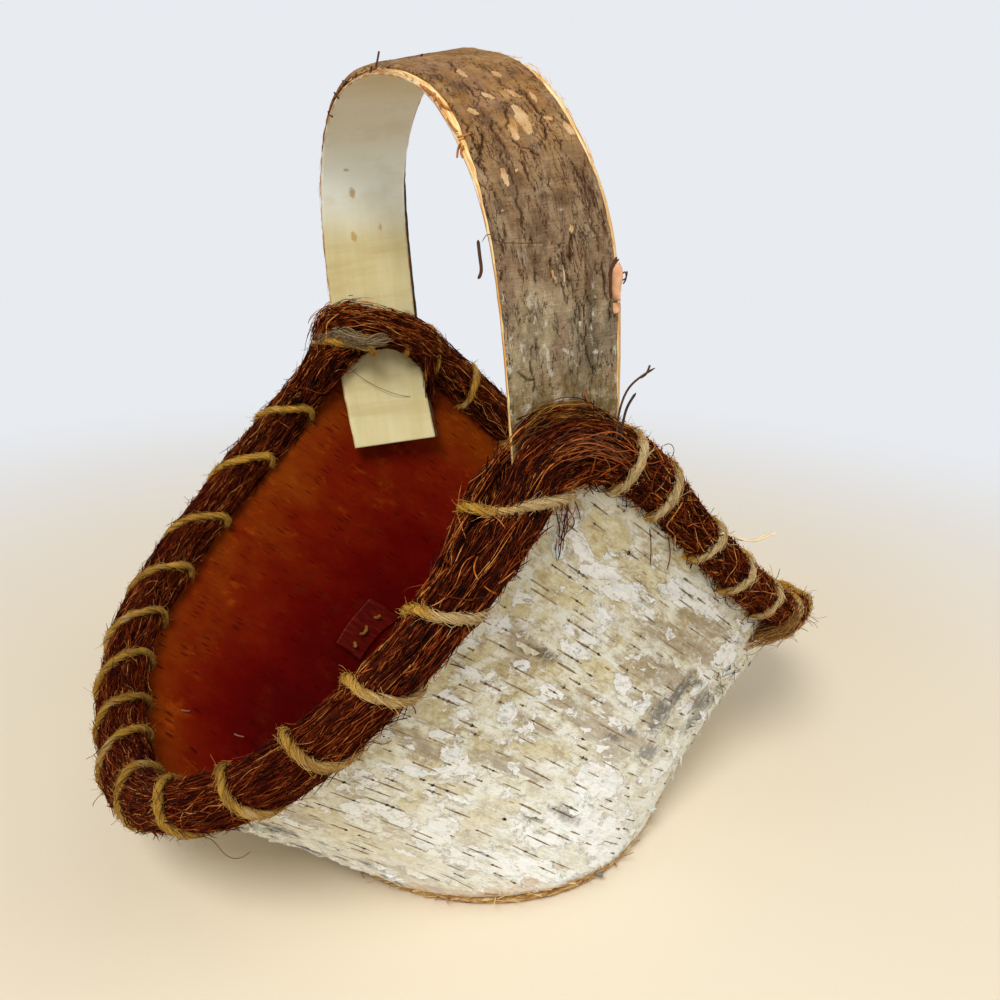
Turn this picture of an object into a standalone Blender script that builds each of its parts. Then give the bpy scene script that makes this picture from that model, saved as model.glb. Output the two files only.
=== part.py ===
"""A birch bark basket with a bent strip handle, in metres, with +Z up and the origin under its middle.

One bark sheet makes the bottom and the wall, which flares to two low ends and rises to two peaks. A bark
plate lies under the bottom. A coir bundle lies on each side of the wall's top edge, and jute laces both to
the bark. The handle is one bent strip, wood inside and bark outside. Its feet stand inside the two peaks.
"""

import math

import bmesh
import bpy
import numpy as np

# Mouth, measured on the middle of the wall's top edge
MOUTH_HALF_LENGTH = 0.125
MOUTH_HALF_WIDTH = 0.091
PEAK_HEIGHT = 0.149

# Half of the wall's top edge, from the low left end over the peak to the low right end:
# along the length, across the width, and up, as shares of the three sizes above
RIM_SHARES = (
    (-1.0, 0.0, 0.23),
    (-0.945, 0.525, 0.32),
    (-0.745, 0.875, 0.48),
    (-0.46, 1.0, 0.725),
    (-0.23, 0.95, 0.935),
    (-0.09, 0.915, 1.0),
    (0.065, 0.89, 0.945),
    (0.27, 0.84, 0.785),
    (0.615, 0.65, 0.545),
    (0.885, 0.35, 0.39),
    (1.0, 0.0, 0.32),
)
PEAK_SHARES = RIM_SHARES[5]
RIM_STATIONS = 84
RIM_FINE_STATIONS = 840
# How much closer the stations stand at the two peaks, where the edge bends most
PEAK_CROWDING_SHARE = 0.3

# Bark body and the plate under it
BARK_THICKNESS = 0.0018
BASE_HALF_LENGTH = 0.0645
BASE_HALF_WIDTH = 0.0743
BASE_MIDDLE_X = -0.0058
CORNER_SIZE = 0.003
EDGE_RISE = 0.002
WALL_ROW_SHARES = (0.0, 0.4, 0.8, 1.0)
CORNER_ROW_SHARES = (0.0, 0.33, 0.67)
PLATE_THICKNESS = 0.0016
PLATE_OVERHANG = 0.0006
PLATE_SIDES = 64

# Clearance between pieces that touch on the real basket
GAP = 0.0003
COIR_GAP = 0.0007

# Coir bundles, half round, with their flat side on the bark
COIR_DEPTH = 0.0063
COIR_HALF_HEIGHT = 0.0074
COIR_ARC_POINTS = 8

# Jute lacing round the bundles, through holes in the bark
JUTE_DIAMETER = 0.0035
LACING_MARGIN = 0.0011
HOLE_MARGIN = 0.0009
HOLE_SIDES = 10
HOLE_REACH = 0.009
LOOP_POINTS = 16
LACING_ROUNDING = 0.35
# Holes along the top edge, as shares of its length from the left end past the near peak. Both lengths
# of jute start at the far peak and end at the near one, one round each end of the basket
LEFT_HOLE_SHARES = (
    (0.755, 0.797, 0.828, 0.864, 0.895, 0.923, 0.947, 0.969, 0.991)
    + (1.02, 1.055, 1.09, 1.118, 1.146, 1.173, 1.203, 1.251)
)
RIGHT_HOLE_SHARES = (
    (0.74, 0.715, 0.688, 0.66, 0.632, 0.604, 0.576, 0.55, 0.524)
    + (0.498, 0.47, 0.44, 0.41, 0.382, 0.353, 0.326, 0.299, 0.274)
)
# How much of a loop the jute goes on past its last hole, inside the basket
TAIL_SHARE = 0.12
TAIL_POINTS = 3

# Handle strip, a bent arch that leans along the basket
STRIP_WIDTH = 0.032
WOOD_THICKNESS = 0.0013
SKIN_THICKNESS = 0.0007
STRIP_THICKNESS = WOOD_THICKNESS + GAP + SKIN_THICKNESS
HANDLE_TOP = 0.2425
# How far the arch bulges out past its seats on the wall
HANDLE_BULGE = 0.0007
HANDLE_LEAN = -0.098
HANDLE_SHIFT_X = 0.0005
CROWN_TILT = 0.08
FOOT_TWIST = 0.16
FOOT_DROP = 0.040
FOOT_INSET = 0.010
STRIP_STATIONS = 56
STRIP_COLUMNS = 4
# Arch above its seat on the wall: across as shares of the half span, up as shares of its rise from the seat
ARCH_SHARES = ((0.0, 1.0), (0.48, 0.945), (0.74, 0.824), (0.94, 0.611), (1.0, 0.352), (1.0, 0.17))
# Foot below its seat: inwards as shares of the inset, down as shares of the drop
FOOT_SHARES = ((0.12, 0.25), (0.45, 0.6), (1.0, 1.0))
# Room that the strip takes between the wall and the inner bundle, and how it fades beside the strip
SEAT_SLACK = 0.003
ROOM_FADE = 0.024

# Small bark tab on the far wall, inside, with its running stitch
TAB_LENGTH = 0.024
TAB_WIDTH = 0.014
TAB_THICKNESS = 0.0012
TAB_TILT = math.radians(42)
TAB_RIM_SHARE = 0.775
TAB_HEIGHT = 0.026
TAB_GAP = 0.0007
TAB_COLUMNS = 5
TAB_ROWS = 4
STITCH_DIAMETER = 0.0016
STITCH_LENGTH = 0.009
STITCH_COUNT = 3
STITCH_POINTS = 14
STITCH_SQUARENESS = 0.15
STITCH_HOLE_MARGIN = 0.0010
STITCH_HOLE_REACH = 0.006

# Where the wall's bottom lies: on the plate
BOTTOM_Z = PLATE_THICKNESS + GAP + BARK_THICKNESS / 2
# From the middle of the wall to a bundle's flat side
COIR_SEAT = BARK_THICKNESS / 2 + COIR_GAP
LACING_REACH = LACING_MARGIN + JUTE_DIAMETER / 2
SEAT_Y = MOUTH_HALF_WIDTH * PEAK_SHARES[1] - BARK_THICKNESS / 2 - GAP - STRIP_THICKNESS
SEAT_Z = PEAK_HEIGHT * PEAK_SHARES[2]
HANDLE_RISE = HANDLE_TOP - SEAT_Z
HANDLE_HALF_SPAN = SEAT_Y + HANDLE_BULGE


def clear_scene():
    for old in list(bpy.data.objects):
        bpy.data.objects.remove(old, do_unlink=True)


def material(name, color, roughness):
    made = bpy.data.materials.new(name)
    made.use_nodes = True
    shader = made.node_tree.nodes["Principled BSDF"]
    shader.inputs["Base Color"].default_value = (*color, 1.0)
    shader.inputs["Roughness"].default_value = roughness
    shader.inputs["Metallic"].default_value = 0.0
    return made


def unit(vectors):
    return vectors / np.linalg.norm(vectors, axis=-1, keepdims=True)


def spline(points, count, closed):
    """Evenly spaced points on the smooth curve through the given ones."""
    points = np.array(points, float)
    if closed:
        points = np.vstack([points, points[:1]])
    steps = np.linalg.norm(np.diff(points, axis=0), axis=1) ** 0.5
    knots = np.concatenate([[0.0], np.cumsum(steps)])
    last = len(points) - 1
    rows = np.eye(last + 1)
    right = np.zeros_like(points)
    slopes = np.diff(points, axis=0) / steps[:, None]
    for i in range(1, last):
        rows[i, i - 1 : i + 2] = steps[i - 1], 2 * (steps[i - 1] + steps[i]), steps[i]
        right[i] = 6 * (slopes[i] - slopes[i - 1])
    if closed:
        rows[0, last] = -1.0
        rows[last] = 0.0
        rows[last, [0, 1, last - 1, last]] = 2 * steps[0], steps[0], steps[-1], 2 * steps[-1]
        right[last] = 6 * (slopes[0] - slopes[-1])
    bends = np.linalg.solve(rows, right)
    times = np.linspace(0.0, knots[-1], 20 * count)
    at = np.clip(np.searchsorted(knots, times, side="right") - 1, 0, last - 1)
    step = steps[at][:, None]
    before = (knots[at + 1] - times)[:, None]
    after = (times - knots[at])[:, None]
    curve = (
        (bends[at] * before**3 + bends[at + 1] * after**3) / (6 * step)
        + (points[at] / step - bends[at] * step / 6) * before
        + (points[at + 1] / step - bends[at + 1] * step / 6) * after
    )
    travel = np.concatenate([[0.0], np.cumsum(np.linalg.norm(np.diff(curve, axis=0), axis=1))])
    wanted = np.linspace(0.0, travel[-1], count, endpoint=not closed)
    return np.stack([np.interp(wanted, travel, curve[:, axis]) for axis in range(curve.shape[1])], axis=1)


def rim_nodes():
    """The top edge's points, along the near side from left to right and back along the far side."""
    sizes = np.array([MOUTH_HALF_LENGTH, MOUTH_HALF_WIDTH, PEAK_HEIGHT])
    half = np.array(RIM_SHARES) * sizes
    near = half * np.array([1.0, -1.0, 1.0])
    return np.vstack([near, half[-2:0:-1]])


RIM = spline(rim_nodes(), RIM_FINE_STATIONS, closed=True)


def rim_point(shares):
    """Points on the top edge at shares of its length, counted from the left end along the near side."""
    places = np.atleast_1d(shares) * RIM_FINE_STATIONS
    known = np.arange(-RIM_FINE_STATIONS, 2 * RIM_FINE_STATIONS)
    rounds = np.vstack([RIM, RIM, RIM])
    return np.stack([np.interp(places, known, rounds[:, axis]) for axis in range(3)], axis=1)


def station_shares():
    """Shares of the sections along the top edge."""
    even = np.arange(RIM_STATIONS) / RIM_STATIONS
    return even + PEAK_CROWDING_SHARE * np.sin(4 * math.pi * even) / (4 * math.pi)


def base_point(rim):
    """The point of the bottom's outline under each rim point."""
    turn = np.arctan2(rim[:, 1] / MOUTH_HALF_WIDTH, rim[:, 0] / MOUTH_HALF_LENGTH)
    x = BASE_MIDDLE_X + BASE_HALF_LENGTH * np.cos(turn)
    y = BASE_HALF_WIDTH * np.sin(turn)
    return np.stack([x, y, np.full_like(x, BOTTOM_Z)], axis=1)


def rim_frame(shares):
    """Place, direction along the edge, direction up the wall, and direction out of the basket."""
    step = 2.0 / RIM_FINE_STATIONS
    place = rim_point(shares)
    along = unit(rim_point(shares + step) - rim_point(shares - step))
    rise = place - base_point(place)
    up = unit(rise - along * np.sum(rise * along, axis=1, keepdims=True))
    return place, along, up, np.cross(along, up)


def wall_point(share, height):
    """A point on the middle of the wall at a height, and the direction out of the basket there."""
    step = 2.0 / RIM_FINE_STATIONS

    def at(value):
        rim = rim_point(value)
        base = base_point(rim)
        return (base + (rim - base) * (height - BOTTOM_Z) / (rim[:, 2:] - BOTTOM_Z))[0]

    rim = rim_point(share)
    rise = (rim - base_point(rim))[0]
    return at(share), unit(np.cross(at(share + step) - at(share - step), rise))


def handle_x(z):
    """Where the leaning handle's middle lies along the basket at a height."""
    return HANDLE_SHIFT_X + z * math.sin(HANDLE_LEAN)


def strip_room(place):
    """How far the handle's strip pushes the inner bundle off the wall at each rim point."""
    beside = np.abs(place[:, 0] - handle_x(place[:, 2])) - STRIP_WIDTH / 2
    fade = np.clip(1.0 - beside / ROOM_FADE, 0.0, 1.0)
    return (STRIP_THICKNESS + GAP + SEAT_SLACK) * fade * fade * (3 - 2 * fade)


def mesh_object(name, verts, faces, made_of, smooth=True):
    mesh = bpy.data.meshes.new(name)
    mesh.from_pydata([tuple(map(float, vert)) for vert in verts], [], faces)
    mesh.materials.append(made_of)
    shape = bmesh.new()
    shape.from_mesh(mesh)
    bmesh.ops.recalc_face_normals(shape, faces=shape.faces)
    shape.to_mesh(mesh)
    shape.free()
    if smooth:
        mesh.shade_smooth()
        mesh.set_sharp_from_angle(angle=math.radians(40))
    made = bpy.data.objects.new(name, mesh)
    bpy.context.scene.collection.objects.link(made)
    return made


def grid_faces(rows, columns, rows_closed, columns_closed):
    faces = []
    for i in range(rows if rows_closed else rows - 1):
        for j in range(columns if columns_closed else columns - 1):
            k = (i + 1) % rows
            n = (j + 1) % columns
            faces.append((i * columns + j, i * columns + n, k * columns + n, k * columns + j))
    return faces


def swept_object(name, sections, made_of, closed):
    """A solid through closed sections, joined end to end or with capped ends."""
    count, points = sections.shape[:2]
    faces = grid_faces(count, points, closed, True)
    if not closed:
        faces.append(tuple(range(points)))
        faces.append(tuple(range((count - 1) * points, count * points)))
    return mesh_object(name, sections.reshape(-1, 3), faces, made_of)


def tube(name, points, diameter, made_of):
    """A round cord with filled ends along the points."""
    curve = bpy.data.curves.new(name, "CURVE")
    curve.dimensions = "3D"
    curve.bevel_depth = diameter / 2
    curve.bevel_resolution = 1
    curve.use_fill_caps = True
    line = curve.splines.new("POLY")
    line.points.add(len(points) - 1)
    for place, point in zip(line.points, points):
        place.co = (*point, 1.0)
    line.use_smooth = True
    curve.materials.append(made_of)
    made = bpy.data.objects.new(name, curve)
    bpy.context.scene.collection.objects.link(made)
    return made


def cut(target, cutter):
    holes = target.modifiers.new(f"{cutter.name}_cut", "BOOLEAN")
    holes.operation = "DIFFERENCE"
    holes.solver = "EXACT"
    holes.object = cutter


def hole_cutter(name, places, directions, radius, reach):
    """One hidden object with a round bar at each place."""
    verts, faces = [], []
    for place, direction in zip(places, directions):
        side = unit(np.cross(direction, (0.0, 0.3, 1.0)))
        other = np.cross(direction, side)
        start = len(verts)
        for end in (-reach, reach):
            for k in range(HOLE_SIDES):
                turn = 2 * math.pi * k / HOLE_SIDES
                spoke = side * math.cos(turn) + other * math.sin(turn)
                verts.append(place + direction * end + spoke * radius)
        for k in range(HOLE_SIDES):
            n = (k + 1) % HOLE_SIDES
            faces.append((start + k, start + n, start + HOLE_SIDES + n, start + HOLE_SIDES + k))
        faces.append(tuple(range(start, start + HOLE_SIDES)))
        faces.append(tuple(range(start + HOLE_SIDES, start + 2 * HOLE_SIDES)))
    made = mesh_object(name, verts, faces, material(f"{name}_guide", (0.5, 0.5, 0.5), 0.5), smooth=False)
    made.hide_render = True
    made.display_type = "WIRE"
    return made


def bark_body():
    """The bottom and the wall as one sheet, thickened to both sides of its middle."""
    rim = rim_point(station_shares())
    base = base_point(rim)
    middle = np.array([BASE_MIDDLE_X, 0.0, BOTTOM_Z])
    inward = unit(middle - base)
    rise = unit(rim - base)
    length = np.linalg.norm(rim - base, axis=1, keepdims=True)
    rows = []
    for share in CORNER_ROW_SHARES:
        before = base + inward * CORNER_SIZE * (1 - share)
        after = base + rise * CORNER_SIZE * share
        rows.append(before * (1 - share) + after * share)
    for share in WALL_ROW_SHARES:
        reach = CORNER_SIZE + (length + EDGE_RISE - CORNER_SIZE) * share
        rows.append(base + rise * reach)
    verts = list(np.concatenate(rows)) + [middle]
    faces = grid_faces(len(rows), RIM_STATIONS, False, True)
    for k in range(RIM_STATIONS):
        faces.append((len(verts) - 1, (k + 1) % RIM_STATIONS, k))
    body = mesh_object("bark_body", verts, faces, material("outer_bark", (0.72, 0.68, 0.60), 0.75))
    skin = body.modifiers.new("thickness", "SOLIDIFY")
    skin.thickness = BARK_THICKNESS
    skin.offset = 0.0
    skin.use_even_offset = True
    return body


def base_plate():
    turns = 2 * math.pi * np.arange(PLATE_SIDES) / PLATE_SIDES
    x = BASE_MIDDLE_X + (BASE_HALF_LENGTH + PLATE_OVERHANG) * np.cos(turns)
    y = (BASE_HALF_WIDTH + PLATE_OVERHANG) * np.sin(turns)
    rings = [np.stack([x, y, np.full_like(x, z)], axis=1) for z in (0.0, PLATE_THICKNESS)]
    return swept_object("base_plate", np.stack(rings), material("edge_bark", (0.45, 0.24, 0.10), 0.8), False)


def coir_bundle(name, side):
    """A half-round bundle along the whole top edge: side is 1 outside the wall and -1 inside it."""
    place, along, up, out = rim_frame(station_shares())
    seat = COIR_SEAT + (strip_room(place) if side < 0 else np.zeros(RIM_STATIONS))
    turns = np.linspace(-math.pi / 2, math.pi / 2, COIR_ARC_POINTS)
    sections = []
    for turn in turns:
        across = side * (seat + COIR_DEPTH * math.cos(turn))
        sections.append(place + out * across[:, None] + up * COIR_HALF_HEIGHT * math.sin(turn))
    return swept_object(name, np.stack(sections, axis=1), material(name, (0.16, 0.06, 0.025), 0.85), True)


def lacing_point(share, turn):
    """A point of the jute's middle line round both bundles: turn 0 is outside and a quarter turn on top."""
    place, along, up, out = rim_frame(np.array([share]))
    across = math.cos(turn)
    side = across / math.hypot(across, LACING_ROUNDING)
    seat = COIR_SEAT + (float(strip_room(place)[0]) if across < 0 else 0.0)
    depth = side * seat + (COIR_DEPTH + LACING_REACH) * across
    height = (COIR_HALF_HEIGHT + LACING_REACH) * math.sin(turn)
    return place[0] + out[0] * depth + up[0] * height


def lacing_points(holes):
    """From each hole up the inner side, over the top and down the outer side to the next hole."""
    points = []
    for number, (start, end) in enumerate(zip(holes, holes[1:])):
        for k in range(LOOP_POINTS):
            turn = k / LOOP_POINTS
            if number == 0 and turn < TAIL_SHARE:
                continue
            share = start + (end - start) * turn * turn * (3 - 2 * turn)
            points.append(lacing_point(share, -math.pi / 2 - 2 * math.pi * turn))
    for k in range(TAIL_POINTS):
        turn = TAIL_SHARE * k / (TAIL_POINTS - 1)
        points.append(lacing_point(holes[-1], -math.pi / 2 - 2 * math.pi * turn))
    return np.array(points)


def least_gap(points, diameter):
    """The least free distance between two stretches of a cord that don't follow each other."""
    travel = np.concatenate([[0.0], np.cumsum(np.linalg.norm(np.diff(points, axis=0), axis=1))])
    apart = np.linalg.norm(points[:, None] - points[None], axis=2)
    apart[np.abs(travel[:, None] - travel[None]) < 3 * diameter] = math.inf
    return float(apart.min()) - diameter


def lacing(name, holes, made_of):
    points = lacing_points(holes)
    print(f"{name}: {len(holes) - 1} loops, least gap {1000 * least_gap(points, JUTE_DIAMETER):.2f} mm")
    return tube(name, points, JUTE_DIAMETER, made_of)


def lacing_holes(name, shares):
    place, along, up, out = rim_frame(np.array(shares[1:]))
    places = place - up * (COIR_HALF_HEIGHT + LACING_REACH)
    return hole_cutter(name, places, out, JUTE_DIAMETER / 2 + HOLE_MARGIN, HOLE_REACH)


def arch_outline():
    """The strip's inner face from the near foot over the top to the far foot: across and up."""
    upper = [(y * HANDLE_HALF_SPAN, SEAT_Z + z * HANDLE_RISE) for y, z in ARCH_SHARES]
    seat = [(SEAT_Y, SEAT_Z)]
    foot = [(SEAT_Y - across * FOOT_INSET, SEAT_Z - down * FOOT_DROP) for across, down in FOOT_SHARES]
    far = upper + seat + foot
    near = [(-y, z) for y, z in far[:0:-1]]
    return spline(near + far, STRIP_STATIONS, closed=False)


def strip_sections(inner, outer):
    """Cross sections of a layer of the handle between two depths over its inner face."""
    line = arch_outline()
    ahead = unit(np.gradient(line, axis=0))
    over = np.stack([-ahead[:, 1], ahead[:, 0]], axis=1)
    rise = np.clip((line[:, 1] - SEAT_Z) / HANDLE_RISE, 0.0, 1.0)
    twist = FOOT_TWIST * (1 - rise) ** 2 * np.sign(line[:, 0])
    tilt = CROWN_TILT * rise**4
    across = np.linspace(-STRIP_WIDTH / 2, STRIP_WIDTH / 2, STRIP_COLUMNS)
    path = [(x, inner) for x in across] + [(x, outer) for x in across[::-1]]
    sections = []
    for x, depth in path:
        y = line[:, 0] + over[:, 0] * depth - x * twist
        z = line[:, 1] + over[:, 1] * depth + x * tilt
        leaned_x = HANDLE_SHIFT_X + x * math.cos(HANDLE_LEAN) + z * math.sin(HANDLE_LEAN)
        leaned_z = z * math.cos(HANDLE_LEAN) - x * math.sin(HANDLE_LEAN)
        sections.append(np.stack([leaned_x, y, leaned_z], axis=1))
    return np.stack(sections, axis=1)


def handle(holes):
    wood = swept_object(
        "handle_wood",
        strip_sections(0.0, WOOD_THICKNESS),
        material("pale_wood", (0.66, 0.57, 0.36), 0.6),
        False,
    )
    skin = swept_object(
        "handle_bark",
        strip_sections(WOOD_THICKNESS + GAP, STRIP_THICKNESS),
        material("handle_bark", (0.25, 0.18, 0.12), 0.85),
        False,
    )
    for cutter in holes:
        cut(wood, cutter)
        cut(skin, cutter)


def tab_place(long, short):
    """A point on the middle of the wall by its place on the tab, and the direction into the basket."""
    along = short * math.sin(TAB_TILT) - long * math.cos(TAB_TILT)
    rise = long * math.sin(TAB_TILT) + short * math.cos(TAB_TILT)
    step = 1.0 / RIM_FINE_STATIONS
    ahead, _ = wall_point(TAB_RIM_SHARE + step, TAB_HEIGHT)
    middle, _ = wall_point(TAB_RIM_SHARE, TAB_HEIGHT)
    share = TAB_RIM_SHARE + along * step / float(np.linalg.norm(ahead - middle))
    place, out = wall_point(share, TAB_HEIGHT + rise)
    return place, -out


def inner_tab():
    near = BARK_THICKNESS / 2 + TAB_GAP
    longs = np.linspace(-TAB_LENGTH / 2, TAB_LENGTH / 2, TAB_COLUMNS)
    shorts = np.linspace(-TAB_WIDTH / 2, TAB_WIDTH / 2, TAB_ROWS)
    sections = []
    for long in longs:
        ring = []
        for depth, row in ((near, shorts), (near + TAB_THICKNESS, shorts[::-1])):
            for short in row:
                place, inward = tab_place(long, short)
                ring.append(place + inward * depth)
        sections.append(ring)
    return swept_object("inner_tab", np.array(sections), material("tab_bark", (0.30, 0.08, 0.03), 0.6), False)


def stitch_points():
    """A running stitch along the tab's middle: over the tab, through the wall, and on outside it."""
    radius = STITCH_DIAMETER / 2
    inner = BARK_THICKNESS / 2 + 2 * TAB_GAP + TAB_THICKNESS + radius
    outer = -(BARK_THICKNESS / 2 + TAB_GAP + radius)
    total = (STITCH_COUNT - 1) * STITCH_LENGTH
    count = (STITCH_COUNT - 1) * STITCH_POINTS + 1
    points = []
    for k in range(count):
        travel = total * k / (count - 1)
        wave = math.cos(2 * math.pi * travel / STITCH_LENGTH)
        square = wave * math.sqrt((1 + STITCH_SQUARENESS) / (wave * wave + STITCH_SQUARENESS))
        place, inward = tab_place(travel - total / 2, 0.0)
        points.append(place + inward * ((inner + outer) / 2 + (inner - outer) / 2 * square))
    return np.array(points)


def stitch_holes():
    first = STITCH_LENGTH / 4 - (STITCH_COUNT - 1) * STITCH_LENGTH / 2
    found = [tab_place(first + k * STITCH_LENGTH / 2, 0.0) for k in range(2 * (STITCH_COUNT - 1))]
    radius = STITCH_DIAMETER / 2 + STITCH_HOLE_MARGIN
    return hole_cutter("stitch_holes", *zip(*found), radius, STITCH_HOLE_REACH)


def main():
    clear_scene()
    jute = material("jute", (0.42, 0.30, 0.15), 0.9)
    holes = [
        lacing_holes("left_lacing_holes", LEFT_HOLE_SHARES),
        lacing_holes("right_lacing_holes", RIGHT_HOLE_SHARES),
    ]
    tab_holes = stitch_holes()
    body = bark_body()
    for cutter in (*holes, tab_holes):
        cut(body, cutter)
    base_plate()
    coir_bundle("outer_coir", 1)
    coir_bundle("inner_coir", -1)
    lacing("left_lacing", LEFT_HOLE_SHARES, jute)
    lacing("right_lacing", RIGHT_HOLE_SHARES, jute)
    handle(holes)
    cut(inner_tab(), tab_holes)
    points = stitch_points()
    print(f"tab_stitch: least gap {1000 * least_gap(points, STITCH_DIAMETER):.2f} mm")
    tube("tab_stitch", points, STITCH_DIAMETER, jute)


main()
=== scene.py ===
"""A birch bark basket with a coir rim, jute lacing and a bent strip handle, dressed for the camera.

Metres, with +Z up and the basket's middle at the origin. The bark, the coir, the jute and the strip are
built from the same curves as the solids that they stand for.
"""

import math

import bpy
import numpy as np
from mathutils import Matrix, Vector, kdtree
from mathutils.bvhtree import BVHTree


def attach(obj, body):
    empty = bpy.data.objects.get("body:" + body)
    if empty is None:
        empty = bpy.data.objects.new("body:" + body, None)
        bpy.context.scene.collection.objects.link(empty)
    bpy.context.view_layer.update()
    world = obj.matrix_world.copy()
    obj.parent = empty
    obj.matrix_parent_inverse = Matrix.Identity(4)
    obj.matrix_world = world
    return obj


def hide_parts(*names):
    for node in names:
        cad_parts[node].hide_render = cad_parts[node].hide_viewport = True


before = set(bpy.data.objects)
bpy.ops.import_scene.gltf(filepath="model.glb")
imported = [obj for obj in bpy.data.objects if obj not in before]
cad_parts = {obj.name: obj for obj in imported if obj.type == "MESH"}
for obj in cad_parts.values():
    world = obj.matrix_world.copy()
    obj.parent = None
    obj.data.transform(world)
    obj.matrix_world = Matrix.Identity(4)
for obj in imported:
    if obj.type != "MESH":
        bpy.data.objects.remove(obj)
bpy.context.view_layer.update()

# The wall's top edge, the bottom and the bark, as in the solids
MOUTH_HALF_LENGTH = 0.125
MOUTH_HALF_WIDTH = 0.091
PEAK_HEIGHT = 0.149
RIM_SHARES = (
    (-1.0, 0.0, 0.23),
    (-0.945, 0.525, 0.32),
    (-0.745, 0.875, 0.48),
    (-0.46, 1.0, 0.725),
    (-0.23, 0.95, 0.935),
    (-0.09, 0.915, 1.0),
    (0.065, 0.89, 0.945),
    (0.27, 0.84, 0.785),
    (0.615, 0.65, 0.545),
    (0.885, 0.35, 0.39),
    (1.0, 0.0, 0.32),
)
PEAK_SHARES = RIM_SHARES[5]
RIM_FINE_STATIONS = 840
BARK_THICKNESS = 0.0018
BASE_HALF_LENGTH = 0.0645
BASE_HALF_WIDTH = 0.0743
BASE_MIDDLE_X = -0.0058
CORNER_SIZE = 0.003
EDGE_RISE = 0.002
PLATE_THICKNESS = 0.0016
GAP = 0.0003
COIR_GAP = 0.0007
COIR_DEPTH = 0.0063
COIR_HALF_HEIGHT = 0.0074

# Jute lacing
JUTE_DIAMETER = 0.0027
LACING_MARGIN = -0.0009
LOOP_POINTS = 40
LACING_ROUNDING = 0.35
LEFT_HOLE_SHARES = (
    (0.755, 0.797, 0.828, 0.864, 0.895, 0.923, 0.947, 0.969, 0.991)
    + (1.02, 1.055, 1.09, 1.118, 1.146, 1.173, 1.203, 1.251)
)
RIGHT_HOLE_SHARES = (
    (0.74, 0.715, 0.688, 0.66, 0.632, 0.604, 0.576, 0.55, 0.524)
    + (0.498, 0.47, 0.44, 0.41, 0.382, 0.353, 0.326, 0.299, 0.274)
)
TAIL_SHARE = 0.12
JUTE_PITCH = 0.0145
CORD_SIDE = (0.3, 0.5, 1.0)

# Coir fibres: points of a long one, how thin its ends are, and half the width between the bundles on top
FIBRE_POINTS = 30
STRAND_END_SHARE = 0.35
RIDGE_HALF = 0.0038

# Handle strip
STRIP_WIDTH = 0.032
WOOD_THICKNESS = 0.0013
SKIN_THICKNESS = 0.0007
STRIP_THICKNESS = WOOD_THICKNESS + GAP + SKIN_THICKNESS
HANDLE_TOP = 0.2440
HANDLE_BULGE = 0.0007
HANDLE_LEAN = -0.098
HANDLE_SHIFT_X = 0.0005
CROWN_TILT = 0.10
FOOT_TWIST = 0.16
FOOT_DROP = 0.040
FOOT_INSET = 0.010
ARCH_SHARES = ((0.0, 1.0), (0.48, 0.945), (0.74, 0.824), (0.94, 0.611), (1.0, 0.352), (1.0, 0.17))
FOOT_SHARES = ((0.12, 0.25), (0.45, 0.6), (1.0, 1.0))
SEAT_SLACK = 0.003
ROOM_FADE = 0.024
NEAR_SHARE = 0.6

# Tab and its stitch
TAB_LENGTH = 0.024
TAB_WIDTH = 0.014
TAB_THICKNESS = 0.0012
TAB_TILT = math.radians(42)
TAB_RIM_SHARE = 0.775
TAB_HEIGHT = 0.026
TAB_GAP = 0.0007
STITCH_DIAMETER = 0.0016
STITCH_LENGTH = 0.009
STITCH_COUNT = 3
STITCH_SQUARENESS = 0.15

# Rows of the ragged plate: share of its outline, height and how ragged
PLATE_LAYERS = (
    (0.5, 0.0, 0.0),
    (0.985, 0.0, 0.0),
    (1.0, 0.0002, 0.4),
    (1.0, 0.0006, 1.0),
    (1.0, 0.00085, 0.55),
    (1.0, 0.0011, 1.0),
    (1.0, 0.00145, 0.8),
    (0.985, PLATE_THICKNESS, 0.2),
    (0.5, PLATE_THICKNESS, 0.0),
)

# The solids that the camera's sights may meet
SEEN_NODES = ("bark_body", "outer_coir", "inner_coir", "handle_bark", "handle_wood")

BOTTOM_Z = PLATE_THICKNESS + GAP + BARK_THICKNESS / 2
COIR_SEAT = BARK_THICKNESS / 2 + COIR_GAP
LACING_REACH = LACING_MARGIN + JUTE_DIAMETER / 2
SEAT_Y = MOUTH_HALF_WIDTH * PEAK_SHARES[1] - BARK_THICKNESS / 2 - GAP - STRIP_THICKNESS
SEAT_Z = PEAK_HEIGHT * PEAK_SHARES[2]
HANDLE_RISE = HANDLE_TOP - SEAT_Z
HANDLE_HALF_SPAN = SEAT_Y + HANDLE_BULGE

# The way up the birch trunk that the sheet was cut from: its dark dashes lie square to it
TRUNK_TILT = math.radians(38.5)
TRUNK = np.array([math.sin(TRUNK_TILT), 0.0, math.cos(TRUNK_TILT)])

# Camera at the photograph's angle, for a square picture
CAMERA_PLACE = (-0.13141, -0.29744, 0.22282)
CAMERA_YAW = -0.42879
CAMERA_PITCH = 0.34369
CAMERA_ROLL = 0.02747
CAMERA_LENS = 36.02
SENSOR_WIDTH = 36.0
EYE = np.array(CAMERA_PLACE)
PICTURE_SIZE = 1000
PICTURE_MIDDLE = PICTURE_SIZE / 2
PIXELS_PER_METRE = 3400


def unit(vectors):
    """Vectors brought to a length of 1."""
    return vectors / np.maximum(np.linalg.norm(vectors, axis=-1, keepdims=True), 1e-12)


def smooth_step(value, low, high):
    """From 0 at the low value to 1 at the high one, with soft ends."""
    share = np.clip((value - low) / (high - low), 0.0, 1.0)
    return share * share * (3 - 2 * share)


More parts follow.
